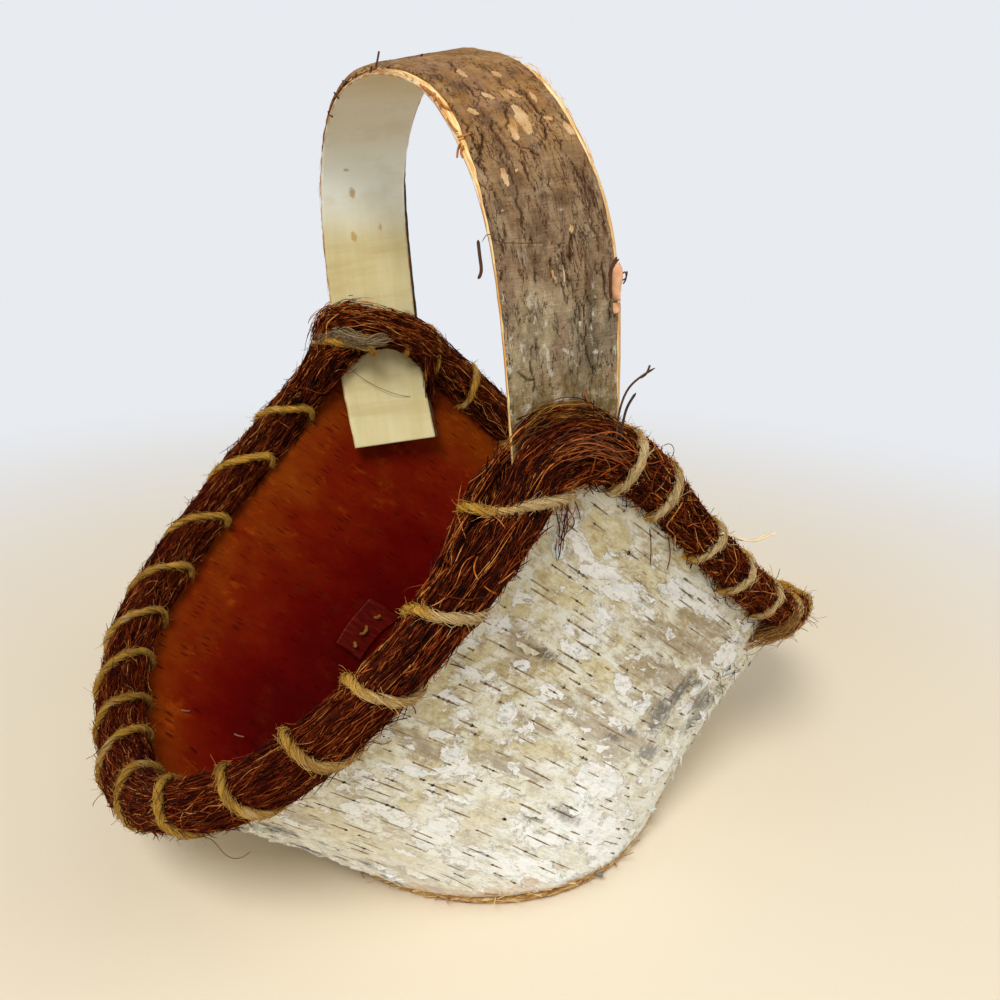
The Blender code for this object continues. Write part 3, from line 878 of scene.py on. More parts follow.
def lenticels(random, tree, made_of):
    """The thin dark dashes of the white bark, each with a few dark ticks across it."""
    shares, climbs, lengths, weight = dash_sites(random, tree)
    count, points = len(shares), 29
    path_shares, path_climbs = ring_lines(shares, climbs, lengths, points)
    path_climbs = np.clip(path_climbs, 0.02, 1.0)
    middle = wall_middle(path_shares, path_climbs)
    out = wall_out(path_shares, path_climbs)
    lines = middle + out * (BARK_THICKNESS / 2 + bark_relief(middle))[..., None]
    at = np.linspace(-1.0, 1.0, points)
    taper = np.clip(1 - at * at, 0.0, 1.0) ** 0.35
    thick = (0.00014 + 0.00019 * weight)[:, None]
    dots = np.zeros((count, points))
    for _ in range(3):
        where = random.uniform(-0.85, 0.85, count)[:, None]
        size = (random.uniform(0.00026, 0.00050, count) / lengths)[:, None]
        strong = (random.uniform(0.0, 1.0, count) < 0.12 + 0.32 * weight)[:, None]
        dots = np.maximum(dots, strong * np.exp(-(((at - where) / (1.6 * size)) ** 2)))
    wild = 1 + 0.45 * rough(lines, 0.0010, 41)
    half_width = thick * taper * wild * (1 + 0.9 * dots) + 0.00002
    lift = 0.00012 * taper * (1 + 1.1 * dots) + 0.00001
    tones = 0.20 + 0.24 * weight[:, None] + 0.30 * rough(lines, 0.002, 42) + 0.7 * dots
    return ribbons("lenticels", lines, out, lift, half_width, made_of, np.clip(tones, 0.0, 1.0))


def flakes(name, random, shares, climbs, long, wide, bend, made_of):
    """Thin curled flakes of bark, fast along one edge and ragged along the other.

    Long, wide and bend are the least and the greatest length, width and curl, in metres and radians.
    """
    points, columns, count = 15, 7, len(shares)
    lengths, widths, bends = [random.uniform(low, high, count) for low, high in (long, wide, bend)]
    path_shares, path_climbs = ring_lines(shares, climbs, lengths, points)
    middle = wall_middle(path_shares, path_climbs)
    out = wall_out(path_shares, path_climbs)
    root = middle + out * (BARK_THICKNESS / 2 + bark_relief(middle) - 0.00005)[..., None]
    ahead = unit(np.gradient(root, axis=1))
    way = np.where(random.uniform(0, 1, count) < 0.6, 1.0, -1.0)[:, None, None]
    across = np.cross(out, ahead) * way
    at = np.linspace(-1.0, 1.0, points)[None, :]
    taper = np.clip(1 - np.abs(at) ** 2.5, 0.03, 1.0)
    ragged = 1 + 0.75 * rough(root, 0.0026, 51) + 0.45 * rough(root, 0.0009, 52)
    reach = (widths[:, None] * taper * np.clip(ragged, 0.1, 2.0))[..., None]
    curl = bends[:, None, None] * np.linspace(0.0, 1.0, columns)
    round_size = np.maximum(bends, 0.05)[:, None, None]
    sheet = root[:, :, None] + across[:, :, None] * (reach * np.sin(curl) / round_size)[..., None]
    sheet = sheet + out[:, :, None] * (reach * (1 - np.cos(curl)) / round_size + 0.00008)[..., None]
    lower = sheet - out[:, :, None] * 0.00011
    block = np.concatenate([sheet, lower[:, :, ::-1]], axis=2)
    ring = block.shape[2]
    faces = repeated(grid_faces(points, ring, True), count, points * ring)
    return finish_piece(name, block.reshape(-1, 3), faces, made_of)


def hump(shares, side):
    """How much a bundle stands up over its mean line, at the peaks where it is loose."""
    shares = np.asarray(shares) % 1.0
    if side > 0:
        return 0.0046 * np.exp(-(((shares - 0.243) / 0.0135) ** 2))
    far = 0.0030 * np.exp(-(((shares - 0.745) / 0.020) ** 2))
    return far + 0.0034 * np.exp(-(((shares - 0.768) / 0.010) ** 2))


def slimness(shares, side):
    """How much less than its full depth, lower half and upper half a bundle has where it is pulled tight."""
    shares = np.asarray(shares) % 1.0
    left = smooth_step(shares, 0.005, 0.045) * (1 - smooth_step(shares, 0.180, 0.222))
    if side < 0:
        right = smooth_step(shares, 0.268, 0.305) * (1 - smooth_step(shares, 0.400, 0.450))
        low = 0.50 * np.exp(-(((shares - 0.747) / 0.028) ** 2))
        return 0.26 * left, low, 0.26 * left + 0.45 * right
    tight = smooth_step(shares, 0.276, 0.315) * (1 - smooth_step(shares, 0.395, 0.450))
    end = np.exp(-(((shares - 0.49) / 0.055) ** 2))
    return 0.85 * end + 0.10 * tight, 0.12 * tight - 0.35 * end, 0.26 * left + 0.34 * tight - 0.26 * end


def bundle_point(shares, turn, side, swell=1.0):
    """A point of a coir bundle's section: turn 0 faces away from the wall and a quarter turn is on top."""
    place, _, up, out = rim_frame(shares)
    seat = COIR_SEAT + (strip_room(place) if side < 0 else 0.0)
    shallow, short, flat = slimness(shares, side)
    across = side * (seat + COIR_DEPTH * (1 - shallow) * swell * np.cos(turn))
    rise = COIR_HALF_HEIGHT * swell * np.sin(turn)
    rise = rise * np.where(rise < 0, 1 - short, 1 - flat)
    rise = rise + hump(shares, side) * (0.55 + 0.45 * np.sin(turn))
    return place + out * across[..., None] + up * rise[..., None]


def cord_tree(points):
    """A search tree for the nearest of many points."""
    tree = kdtree.KDTree(len(points))
    for number, point in enumerate(points):
        tree.insert(point, number)
    tree.balance()
    return tree


def pressed(places, tree, towards, reach, share, loose=None):
    """Places moved towards a bundle's middle where a cord presses on them. Loose strands stay over it."""
    flat = places.reshape(-1, 3).copy()
    goal = towards.reshape(-1, 3)
    free = np.zeros(len(flat), bool) if loose is None else np.repeat(loose, places.shape[1])
    for number, place in enumerate(flat):
        if free[number]:
            continue
        _, _, distance = tree.find(place)
        if distance < reach:
            move = goal[number] - place
            size = np.linalg.norm(move)
            flat[number] = place + move * min(1.0, share * (reach - distance) / max(size, 1e-6))
    return flat.reshape(places.shape)


def bundle_core(name, side, node, tree, made_of):
    """The inside of a bundle, painted dark: partly the coir's own dark fibres, partly painted shade between
    them.
    """
    columns, ring = 360, 22
    shares = np.arange(columns)[:, None] / columns * np.ones(ring)
    turns = np.linspace(-0.5 * math.pi, 0.56 * math.pi, ring - 4)
    turns = np.concatenate([turns, [0.62 * math.pi, 0.7 * math.pi, 1.3 * math.pi, 1.4 * math.pi]])
    turns = np.broadcast_to(turns, (columns, ring))
    swell = 0.84 + 0.05 * rough(bundle_point(shares, turns, side), 0.006, 61)
    swell = np.where(np.cos(turns) < -0.1, 0.12, swell)
    verts = bundle_point(shares, turns, side, swell)
    verts = pressed(verts, tree, bundle_point(shares, np.zeros((columns, ring)), side, 0.3), 0.0024, 1.0)
    faces = grid_faces(columns, ring, True, True)
    if side < 0:
        faces = faces[:, ::-1]
    made = finish_piece(name, verts.reshape(-1, 3), faces, made_of)
    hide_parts(node)
    return made


def bundle_fibres(name, random, count, side, tree, node, made_of):
    """Long wavy fibres that lie over a bundle's dark inside."""
    low, high = -1.75, 1.85
    lengths = random.uniform(0.020, 0.105, count) / RIM_LENGTH
    starts = random.uniform(0.0, 1.0, count)
    at = np.linspace(0.0, 1.0, FIBRE_POINTS)[None, :]
    shares = starts[:, None] + lengths[:, None] * at
    travel = shares * RIM_LENGTH
    place = strand_places(travel)
    first = random.uniform(low, high, count)[:, None]
    slant = random.normal(0.0, 0.55, count)[:, None] * (at - 0.5)
    wave = random.uniform(0.02, 0.15, count)[:, None]
    pitch = random.uniform(0.007, 0.018, count)[:, None]
    wave = wave * np.sin(2 * math.pi * travel / pitch + np.arange(count)[:, None])
    turns = first + slant + wave + 0.26 * along_strands(place, 0.018, 71)
    round_end = smooth_step(shares % 1.0, 0.27, 0.30) * (1 - smooth_step(shares % 1.0, 0.50, 0.53))
    turns = np.clip(turns + (0.10 + 0.26 * round_end) * along_strands(place, 0.0050, 72), low, high)
    swell = random.uniform(0.84, 1.04, count)[:, None] + 0.055 * along_strands(place, 0.009, 73)
    common = np.stack([travel, turns * 0.006, np.full_like(turns, side)], axis=-1)
    swell = swell + 0.15 * rough(common, (0.013, 0.0028, 1.0), 74)
    tips = np.clip((at - 0.88) / 0.12, 0, 1) ** 2 + np.clip((0.12 - at) / 0.12, 0, 1) ** 2
    swell = swell + tips * random.uniform(-0.10, 0.36, count)[:, None]
    middle = bundle_point(shares, np.zeros_like(turns), side, 0.3)
    loose = random.uniform(0.0, 1.0, count) < 0.05
    lines = pressed(bundle_point(shares, turns, side, swell), tree, middle, 0.0025, 0.9, loose)
    radius = random.uniform(0.00008, 0.00018, count)[:, None] * (1 + 0.25 * along_strands(place, 0.010, 75))
    made = strands(name, lines, radius, 3, made_of, random.beta(1.1, 1.9, count))
    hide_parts(node)
    return made


def ridge_fibres(name, random, count, tree, made_of):
    """Fibres that close the top between the two bundles, over the bark's edge."""
    lengths = random.uniform(0.015, 0.080, count) / RIM_LENGTH
    starts = random.uniform(0.0, 1.0, count)
    at = np.linspace(0.0, 1.0, FIBRE_POINTS)[None, :]
    shares = starts[:, None] + lengths[:, None] * at
    place, _, up, out = rim_frame(shares)
    where = strand_places(shares * RIM_LENGTH)
    across = random.uniform(-1.0, 1.0, count)[:, None] * 0.0030 + 0.0012 * along_strands(where, 0.014, 81)
    across = across + random.normal(0, 0.0012, count)[:, None] * (at - 0.5)
    in_front = smooth_step(strip_room(place), 0.0003, 0.0016)
    least = -0.0040 * (1 - in_front) - 0.0004 * in_front
    across = np.maximum(least, least + (across + RIDGE_HALF) / (2 * RIDGE_HALF) * (RIDGE_HALF - least))
    flat = 1 - slimness(shares, 1.0)[2]
    level = COIR_HALF_HEIGHT * (0.95 - 0.10 * (across / RIDGE_HALF) ** 2) * flat + hump(shares, 1)
    level = level + 0.0007 * along_strands(where, 0.008, 82)
    level = level + random.uniform(-0.0010, 0.0005, count)[:, None]
    lines = place + out * across[..., None] + up * level[..., None]
    middle = place + out * 0.002
    loose = random.uniform(0.0, 1.0, count) < 0.05
    lines = pressed(lines, tree, middle, 0.0025, 0.9, loose)
    thin = random.uniform(0.00010, 0.00020, count)
    return strands(name, lines, thin, 3, made_of, random.beta(1.1, 1.9, count))


def tangle(name, random, count, tree, made_of):
    """Short curly fibres that lie over the bundles in all directions."""
    points = 16
    outer = (random.uniform(0, 1, count) < 0.62)[:, None, None]
    at = np.linspace(-0.5, 0.5, points)[None, :]
    length = random.uniform(0.006, 0.024, count)[:, None]
    angle = random.normal(0.0, 0.75, count)[:, None]
    where = strand_places(at * length)
    heading = angle + 1.4 * along_strands(where, 0.005, 84)
    step = length / (points - 1)
    travel = np.cumsum(step * np.cos(heading), axis=1)
    climb = np.cumsum(step * np.sin(heading), axis=1)
    dense = random.uniform(0.0, 1.0, count) < 0.66
    shares = np.where(dense, random.uniform(0.265, 0.50, count), random.uniform(0.0, 1.0, count))
    shares = shares[:, None] + travel / RIM_LENGTH
    turns = random.uniform(-1.5, 1.7, count)[:, None] + climb / 0.0072
    swell = random.uniform(0.96, 1.08, count)[:, None] + 0.07 * along_strands(where, 0.004, 85)
    swell = swell + (2 * np.abs(at)) ** 4 * random.uniform(0.0, 0.30, count)[:, None]

    def on_side(turns, swell):
        both = [bundle_point(shares, turns, side, swell) for side in (1.0, -1.0)]
        return np.where(outer, *both)

    loose = random.uniform(0.0, 1.0, count) < 0.15
    lines = pressed(on_side(turns, swell), tree, on_side(0 * turns, 0.3), 0.0021, 0.7, loose)
    thin = random.uniform(0.00008, 0.00018, count)
    return strands(name, lines, thin, 3, made_of, random.beta(1.1, 1.5, count))


def curls(random, starts, headings, lengths, points, bend, droop=0.0):
    """Random curly lines from given starts."""
    count = len(starts)
    step = (lengths / (points - 1))[:, None]
    lines = np.zeros((count, points, 3))
    lines[:, 0] = starts
    heading = unit(headings)
    turning = random.normal(0.0, 1.0, (count, 3))
    fall = np.array([0.0, 0.0, -droop])
    for k in range(1, points):
        turning = 0.72 * turning + 0.55 * random.normal(0.0, 1.0, (count, 3))
        heading = unit(heading + turning * bend * np.sqrt(step / 0.001) + fall * step / 0.001)
        lines[:, k] = lines[:, k - 1] + heading * step
    return lines


def stray_fibres(name, random, count, made_of):
    """Loose ends that stand off the bundles to all sides."""
    side = np.where(random.uniform(0, 1, count) < 0.6, 1.0, -1.0)
    right = random.uniform(0, 1, count) < 0.35
    shares = np.where(right, random.uniform(0.23, 0.5, count), random.uniform(0, 1, count))
    turns = random.uniform(-1.4, 1.7, count)
    starts = np.zeros((count, 3))
    for value in (1.0, -1.0):
        mine = side == value
        starts[mine] = bundle_point(shares[mine], turns[mine], value, 0.93)
    _, along, up, out = rim_frame(shares)
    sign = np.where(random.uniform(0, 1, count) < 0.5, 1.0, -1.0)[:, None]
    off = out * (side * np.cos(turns))[:, None] + up * np.sin(turns)[:, None]
    round_way = np.cross(along, off) * random.normal(0.0, 0.35, count)[:, None]
    headings = along * sign + off * random.uniform(0.12, 0.42, count)[:, None] + round_way
    lengths = random.uniform(0.0030, 0.0125, count) * random.uniform(0.4, 1.0, count)
    lines = curls(random, starts, headings, lengths, 14, 0.19, 0.004)
    thin = random.uniform(0.00006, 0.00012, count)
    return strands(name, lines, thin, 3, made_of, random.uniform(0.0, 0.7, count))


def bark_strays(name, random, count, made_of):
    """Loose fibres that leave the outer bundle's lower edge and lie on the white bark."""
    starts = random.uniform(0.0, 1.0, count)
    at = np.linspace(0.0, 1.0, 16)[None, :]
    travel = random.normal(0.0, 0.0075, count)[:, None] * at
    where = strand_places(np.repeat(at * 0.012, count, axis=0))
    travel = travel + 0.0026 * along_strands(where, 0.004, 91) * at
    shares = starts[:, None] + travel / RIM_LENGTH
    fall = random.uniform(0.0010, 0.0060, count)[:, None]
    fall = fall * np.sin(at * random.uniform(1.2, 2.8, count)[:, None])
    place, _, _, out = rim_frame(shares)
    height = np.linalg.norm(place - base_point(place), axis=-1)
    short = slimness(starts, 1.0)[1][:, None]
    down = COIR_HALF_HEIGHT * 0.80 * (1 - short) + fall + 0.0008 * along_strands(where, 0.003, 92)
    middle = wall_middle(shares, 1 - down / height)
    near = BARK_THICKNESS / 2 + 0.0004 + 0.0028 * (1 - at) ** 2
    near = near + 0.0005 * np.abs(along_strands(where, 0.004, 93))
    lines = middle + out * near[..., None]
    thin = random.uniform(0.00007, 0.00015, count)
    return strands(name, lines, thin, 3, made_of, random.uniform(0.0, 0.6, count))


def lacing_path(holes, ways):
    """The cord's middle line from the far peak round one end of the basket to the near peak.

    Ways give for each stitch how much of the move to the next hole is done low inside, on top and low
    outside, and how much of the bundle's own hump the cord rides over.
    """
    shares, turns, lifts = [], [], []
    for number, (start, end) in enumerate(zip(holes, holes[1:])):
        turn = np.arange(LOOP_POINTS) / LOOP_POINTS
        if number == 0:
            turn = turn[turn >= TAIL_SHARE]
        inside, top, outside, ride = ways[number]
        known = (0.0, 0.16, 0.5, 0.84, 1.0)
        dense = np.linspace(-0.1, 1.1, 241)
        done = np.interp(dense, known, (0.0, inside, top, outside, 1.0))
        done = np.convolve(np.pad(done, 12, mode="edge"), np.ones(25) / 25, mode="valid")
        shares.append(start + (end - start) * np.interp(turn, dense, done))
        turns.append(-math.pi / 2 - 2 * math.pi * turn)
        lifts.append(np.full(len(turn), ride))
    turn = np.linspace(0.0, TAIL_SHARE, 8)
    shares.append(np.full(8, holes[-1]))
    turns.append(-math.pi / 2 - 2 * math.pi * turn)
    lifts.append(np.full(8, lifts[-1][-1]))
    shares, turns, lifts = np.concatenate(shares), np.concatenate(turns), np.concatenate(lifts)
    place, _, up, out = rim_frame(shares)
    across = np.cos(turns)
    side = across / np.hypot(across, LACING_ROUNDING)
    seat = COIR_SEAT + np.where(across < 0, strip_room(place), 0.0)
    shallow, short, flat = slimness(shares, 1.0)
    shallow_in = slimness(shares, -1.0)[0]
    outer = smooth_step(across, -0.1, 0.3)
    shallow = shallow * outer + shallow_in * (1 - outer)
    depth = side * seat + (COIR_DEPTH * (1 - shallow) + LACING_REACH) * across
    low = np.where(np.sin(turns) < 0, 1 - short * outer, 1 - flat)
    height = (COIR_HALF_HEIGHT * low + LACING_REACH) * np.sin(turns)
    for side in (1, -1):
        beside = smooth_step(side * across, -0.2, 0.6)
        height = height + lifts * hump(shares, side) * beside * (0.55 + 0.45 * np.sin(turns))
    path = place + out * depth[:, None] + up * height[:, None]
    wave = 0.00045 * np.stack([rough(path, 0.007, 101 + axis) for axis in range(3)], axis=1)
    return spline(path + wave, int(steps_along(path).sum() / 0.0007), closed=False)


def inner_share(places):
    """1 for places inside the top edge of the wall and 0 outside it."""
    shares = np.arange(0, RIM_FINE_STATIONS, 3) / RIM_FINE_STATIONS
    place, _, _, out = rim_frame(shares)
    flat = np.asarray(places).reshape(-1, 3)
    nearest = np.array([int(np.argmin(np.sum((place - one) ** 2, axis=1))) for one in flat])
    beside = np.sum((flat - place[nearest]) * out[nearest], axis=1)
    return (1 - smooth_step(beside, -0.0010, 0.0100)).reshape(np.shape(places)[:-1])


def plies(line, thick, pitch, ply_count=3):
    """The middle lines of a cord's twisted plies, and how far along the cord their points lie."""
    side, other = carried(line[None], np.array([CORD_SIDE]))
    travel = travelled(line)
    reach = thick * 0.21
    lines = []
    for ply in range(ply_count):
        turn = 2 * math.pi * (travel / pitch + ply / ply_count) + 0.6 * rough(line, 0.011, 111 + ply)
        sideways = side[0] * (reach * np.cos(turn))[:, None] + other[0] * (reach * np.sin(turn))[:, None]
        lines.append(line + sideways)
    return np.array(lines), travel


def cord(name, line, thick, pitch, made_of, replaced, sides=8):
    """A twisted cord with its fibres' lay stored on it."""
    lines, travel = plies(line, thick, pitch)
    count, points = lines.shape[:2]
    side, other = carried(lines, np.tile(np.array([CORD_SIDE]), (count, 1)))
    turns = 2 * math.pi * np.arange(sides) / sides
    swell = thick * 0.265 * (1 + 0.24 * rough(lines, 0.0030, 121))
    swell[:, [0, -1]] *= 0.4
    spokes = side[:, :, None] * np.cos(turns)[:, None] + other[:, :, None] * np.sin(turns)[:, None]
    verts = (lines[:, :, None] + spokes * swell[..., None, None]).reshape(-1, 3)
    spin = turns[None, None, :] - (travel * 520)[None, :, None] + np.arange(count)[:, None, None] * 2.1
    rows = np.broadcast_to(travel[None, :, None], spin.shape)
    lay = np.stack([np.cos(spin) * thick / 4, np.sin(spin) * thick / 4, rows], axis=-1).reshape(-1, 3)
    inner = np.repeat(np.tile(inner_share(line), count), sides)
    faces = repeated(capped(points, sides), count, points * sides)
    made = finish_piece(name, verts, faces, made_of, {"lay": lay, "inner": inner})
    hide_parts(*replaced)
    return made


def threads(name, random, line, thick, pitch, count, made_of):
    """Loose threads that run with a cord's twist and hide its plies in part."""
    points, longest = 18, 0.016
    travel = travelled(line)
    side, other = carried(line[None], np.array([CORD_SIDE]))
    at = np.linspace(0.0, 1.0, points)[None, :]
    length = random.uniform(0.004, longest, count)[:, None]
    along = random.uniform(0.0, travel[-1] - longest, count)[:, None] + length * at
    middle, one, two = [
        np.stack([np.interp(along, travel, part[:, axis]) for axis in range(3)], axis=-1)
        for part in (line, side[0], other[0])
    ]
    where = strand_places(along)
    turn = random.uniform(0.0, 2 * math.pi, count)[:, None] + 2 * math.pi * along / pitch
    turn = turn + 0.8 * along_strands(where, 0.005, 221)
    reach = thick * (random.uniform(0.40, 0.56, count)[:, None] + 0.09 * along_strands(where, 0.0035, 222))
    reach = reach + thick * random.uniform(0.0, 0.5, count)[:, None] * (2 * np.abs(at - 0.5)) ** 6
    lines = middle + one * (reach * np.cos(turn))[..., None] + two * (reach * np.sin(turn))[..., None]
    thin = random.uniform(0.00005, 0.00011, count)
    inner = inner_share(lines[:, points // 2])
    return strands(name, lines, thin, 3, made_of, random.uniform(0.0, 1.0, count), inner=inner)


def fuzz(name, random, line, thick, count, made_of):
    """Short hairs that stand off a cord."""
    where = random.integers(2, len(line) - 2, count)
    ahead = unit(np.gradient(line, axis=0))[where]
    off = random.normal(0, 1, (count, 3))
    off = unit(off - ahead * np.sum(off * ahead, axis=1, keepdims=True))
    starts = line[where] + off * thick * random.uniform(0.34, 0.50, count)[:, None]
    sign = np.where(random.uniform(0, 1, count) < 0.5, 1.0, -1.0)[:, None]
    headings = ahead * sign * random.uniform(0.8, 2.4, count)[:, None]
    headings = headings + np.cross(ahead, off) * random.normal(0.5, 0.6, count)[:, None]
    headings = headings + off * random.uniform(0.05, 0.65, count)[:, None]
    lengths = random.uniform(0.0012, 0.0060, count) * random.uniform(0.3, 1.0, count)
    lines = curls(random, starts, headings, lengths, 8, 0.20)
    thin = random.uniform(0.00003, 0.00007, count)
    return strands(name, lines, thin, 3, made_of, random.uniform(0.1, 1.0, count), inner=inner_share(starts))


def strip_line():
    """The handle strip's inner line, seen from the side, from the near foot over the top to the far foot."""
    upper = [(y * HANDLE_HALF_SPAN, SEAT_Z + z * HANDLE_RISE) for y, z in ARCH_SHARES]
    foot = [(SEAT_Y - across * FOOT_INSET, SEAT_Z - down * FOOT_DROP) for across, down in FOOT_SHARES]
    far = upper + [(SEAT_Y, SEAT_Z)] + foot
    near = [(-y, z) for y, z in far[:0:-1]]
    return spline(near + far, 800, closed=False)


STRIP_LINE = strip_line()
STRIP_AHEAD = unit(np.gradient(STRIP_LINE, axis=0))
STRIP_LENGTH = float(steps_along(STRIP_LINE).sum())
NEAR_TRAVEL = NEAR_SHARE * STRIP_LENGTH


def strip_place(travel, x, depth):
    """A place on the handle strip: travel from the near foot's end, across, and over its inner face."""
    known = np.linspace(0.0, STRIP_LENGTH, len(STRIP_LINE))
    line_y = np.interp(travel, known, STRIP_LINE[:, 0])
    line_z = np.interp(travel, known, STRIP_LINE[:, 1])
    over_y = -np.interp(travel, known, STRIP_AHEAD[:, 1])
    over_z = np.interp(travel, known, STRIP_AHEAD[:, 0])
    rise = np.clip((line_z - SEAT_Z) / HANDLE_RISE, 0.0, 1.0)
    twist = FOOT_TWIST * (1 - rise) ** 2 * np.sign(line_y)
    tilt = CROWN_TILT * rise**4
    y = line_y + over_y * depth - x * twist
    z = line_z + over_z * depth + x * tilt
    leaned_x = HANDLE_SHIFT_X + x * math.cos(HANDLE_LEAN) + z * math.sin(HANDLE_LEAN)
    leaned_z = z * math.cos(HANDLE_LEAN) - x * math.sin(HANDLE_LEAN)
    return np.stack([leaned_x, y, leaned_z], axis=-1)


def strip_layer(name, half_width, low, high, stations, columns, backs, relief, node, made_of, extras=None):
    """A layer of the strip. Half width, relief and the extras are calls with travel and place across."""
    travel = np.linspace(0.0, STRIP_LENGTH, stations)[:, None]
    front = np.linspace(-1.0, 1.0, columns)[None, :]
    back = np.linspace(1.0, -1.0, backs)[None, :]
    left, right = half_width(travel, -1.0), half_width(travel, 1.0)
    x_front, x_back = [np.where(shares < 0, shares * left, shares * right) for shares in (front, back)]
    x = np.concatenate([x_front, x_back], axis=1)
    travel = np.broadcast_to(travel, x.shape)
    top = high + relief(travel[:, :columns], x_front)
    rounded = 1 - 0.5 * np.clip((np.abs(front) - 0.93) / 0.07, 0, 1) ** 2
    depth = np.concatenate([low + (top - low) * rounded, np.full_like(x_back, low)], axis=1)
    lay = np.stack([x, travel, depth], axis=-1).reshape(-1, 3)
    attributes = {key: call(travel, x).ravel() for key, call in (extras or {}).items()}
    verts = strip_place(travel, x, depth).reshape(-1, 3)
    made = finish_piece(name, verts, capped(stations, columns + backs), made_of, {"lay": lay} | attributes)
    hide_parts(node)
    return made


def flat_noise(travel, x, sizes, seed, layers=1):
    """Rough values over the strip's own places. Sizes are along and across."""
    travel, x = np.broadcast_arrays(travel, x)
    places = np.stack([x, travel, np.zeros_like(travel)], axis=-1)
    size = (sizes[1], sizes[0], 1.0)
    return fractal(places, size, seed, layers) if layers > 1 else rough(places, size, seed)


def wood_half(travel, end):
    """How far the wood reaches to the left, end -1, or to the right, end 1."""
    wave = 0.00018 * flat_noise(travel, end, (0.030, 1.0), 131)
    wave = wave + 0.00008 * flat_noise(travel, end, (0.004, 1.0), 132)
    foot = 1 - smooth_step(travel, 0.075, 0.135)
    return STRIP_WIDTH / 2 - 0.00005 + wave + foot * np.where(end < 0, 0.0004, 0.0012)


def skin_half(travel, end):
    """How far the handle's bark reaches to the left, end -1, or to the right, end 1."""
    chips = np.clip(flat_noise(travel, end, (0.016, 1.0), 141, 3), 0.0, 1.0)
    fine = flat_noise(travel, end, (0.0022, 1.0), 145)
    share = travel / STRIP_LENGTH
    crown = smooth_step(travel, LEG_TRAVEL, LEG_TRAVEL + 0.035) * (1 - smooth_step(share, 0.50, 0.56))
    far_leg = smooth_step(share, 0.56, 0.64)
    over = 0.0014 * smooth_step(share, 0.65, 0.78)
    bare = np.where(end < 0, 0.00008 + 0.0017 * crown, (0.0014 + 0.0007 * crown) * (1 - far_leg) - over)
    torn = 0.0011 * chips * np.where(end < 0, 0.25 + 0.75 * crown, 1 - far_leg)
    return wood_half(travel, end) - bare - torn - 0.00016 * fine


# Where the picture shows the top of the near leg, below the crown
LEG_TOP_SEEN = (480, 232)

# Fine cracks in the handle's bark: size of their pattern, its shift, width, and where they fade in
SKIN_CRACKS = (
    ((0.0032, 0.0150, 0.01), 4.0, 0.016, 0.44, 0.54),
    ((0.0016, 0.0075, 0.01), 14.0, 0.022, 0.50, 0.58),
)

# Soft patches on the handle's bark: size across and along, detail, roughness, shift, where they fade in,
# strength and colour
SKIN_PATCHES = (
    ((0.016, 0.020), 5, 0.62, 3.0, 0.50, 0.64, 0.5, (88, 78, 66)),
    ((0.010, 0.013), 6, 0.66, 23.0, 0.52, 0.62, 0.45, (168, 134, 110)),
    ((0.006, 0.010), 7, 0.70, 29.0, 0.53, 0.64, 0.40, (124, 120, 96)),
    ((0.0036, 0.0060), 8, 0.74, 39.0, 0.56, 0.68, 0.45, (190, 176, 152)),
)

# Peeled patches and pale flecks on the handle's bark: place in the picture, half length, half width, lean
PEELED = (
    (521, 117, 13, 4.6, 60), (514, 131, 11, 3.6, 75), (514, 94, 8, 2.8, 22), (462, 73, 7, 1.6, 35),
    (533, 96, 7, 2.0, 58), (505, 176, 8, 2.6, 72), (572, 229, 5, 2.4, 80), (549, 118, 6, 1.8, 8),
    (571, 129, 8, 3.4, 40), (497, 74, 5, 2.0, 20), (474, 112, 7, 2.0, 25), (563, 98, 6, 2.2, 55),
    (516, 170, 3, 2.4, 0), (564, 272, 8, 1.0, 84), (552, 272, 8, 1.0, 66), (486, 95, 7, 2.2, 24),
)
FLECKS = (
    (535, 333, 4, 1.8, 60), (545, 345, 3, 3.0, 0), (548, 355, 9, 1.8, 88), (550, 369, 6, 1.6, 80),
    (507, 352, 9, 1.5, 68), (522, 352, 8, 1.5, 84), (565, 350, 6, 1.6, 40), (572, 354, 5, 1.6, 70),
    (596, 352, 5, 1.8, 0), (510, 398, 6, 2.4, 60), (525, 408, 5, 3.0, 0), (564, 400, 7, 2.2, 0),
    (510, 370, 6, 2.4, 60), (512, 338, 2, 1.4, 0), (615, 350, 5, 1.4, 70), (575, 362, 4, 1.4, 70),
    (617, 380, 5, 1.6, 80), (494, 203, 5, 0.9, 50), (503, 211, 2, 1.0, 0), (561, 209, 2, 1.2, 0),
)
SPECKS = ((352, 193, 6, 3.0, 80), (354, 237, 6, 3.0, 70), (380, 227, 4, 2.0, 80), (346, 170, 3, 1.6, 0))
SHADED = (
    (515, 185, 28, 12, 62), (540, 232, 22, 14, 80), (586, 190, 26, 8, 75), (590, 300, 36, 7, 86),
    (500, 207, 13, 8, 30), (560, 198, 26, 8, 0), (536, 262, 20, 8, 80), (552, 268, 14, 8, 70),
    (480, 115, 20, 7, 40), (500, 145, 20, 8, 55), (455, 85, 18, 6, 25),
)

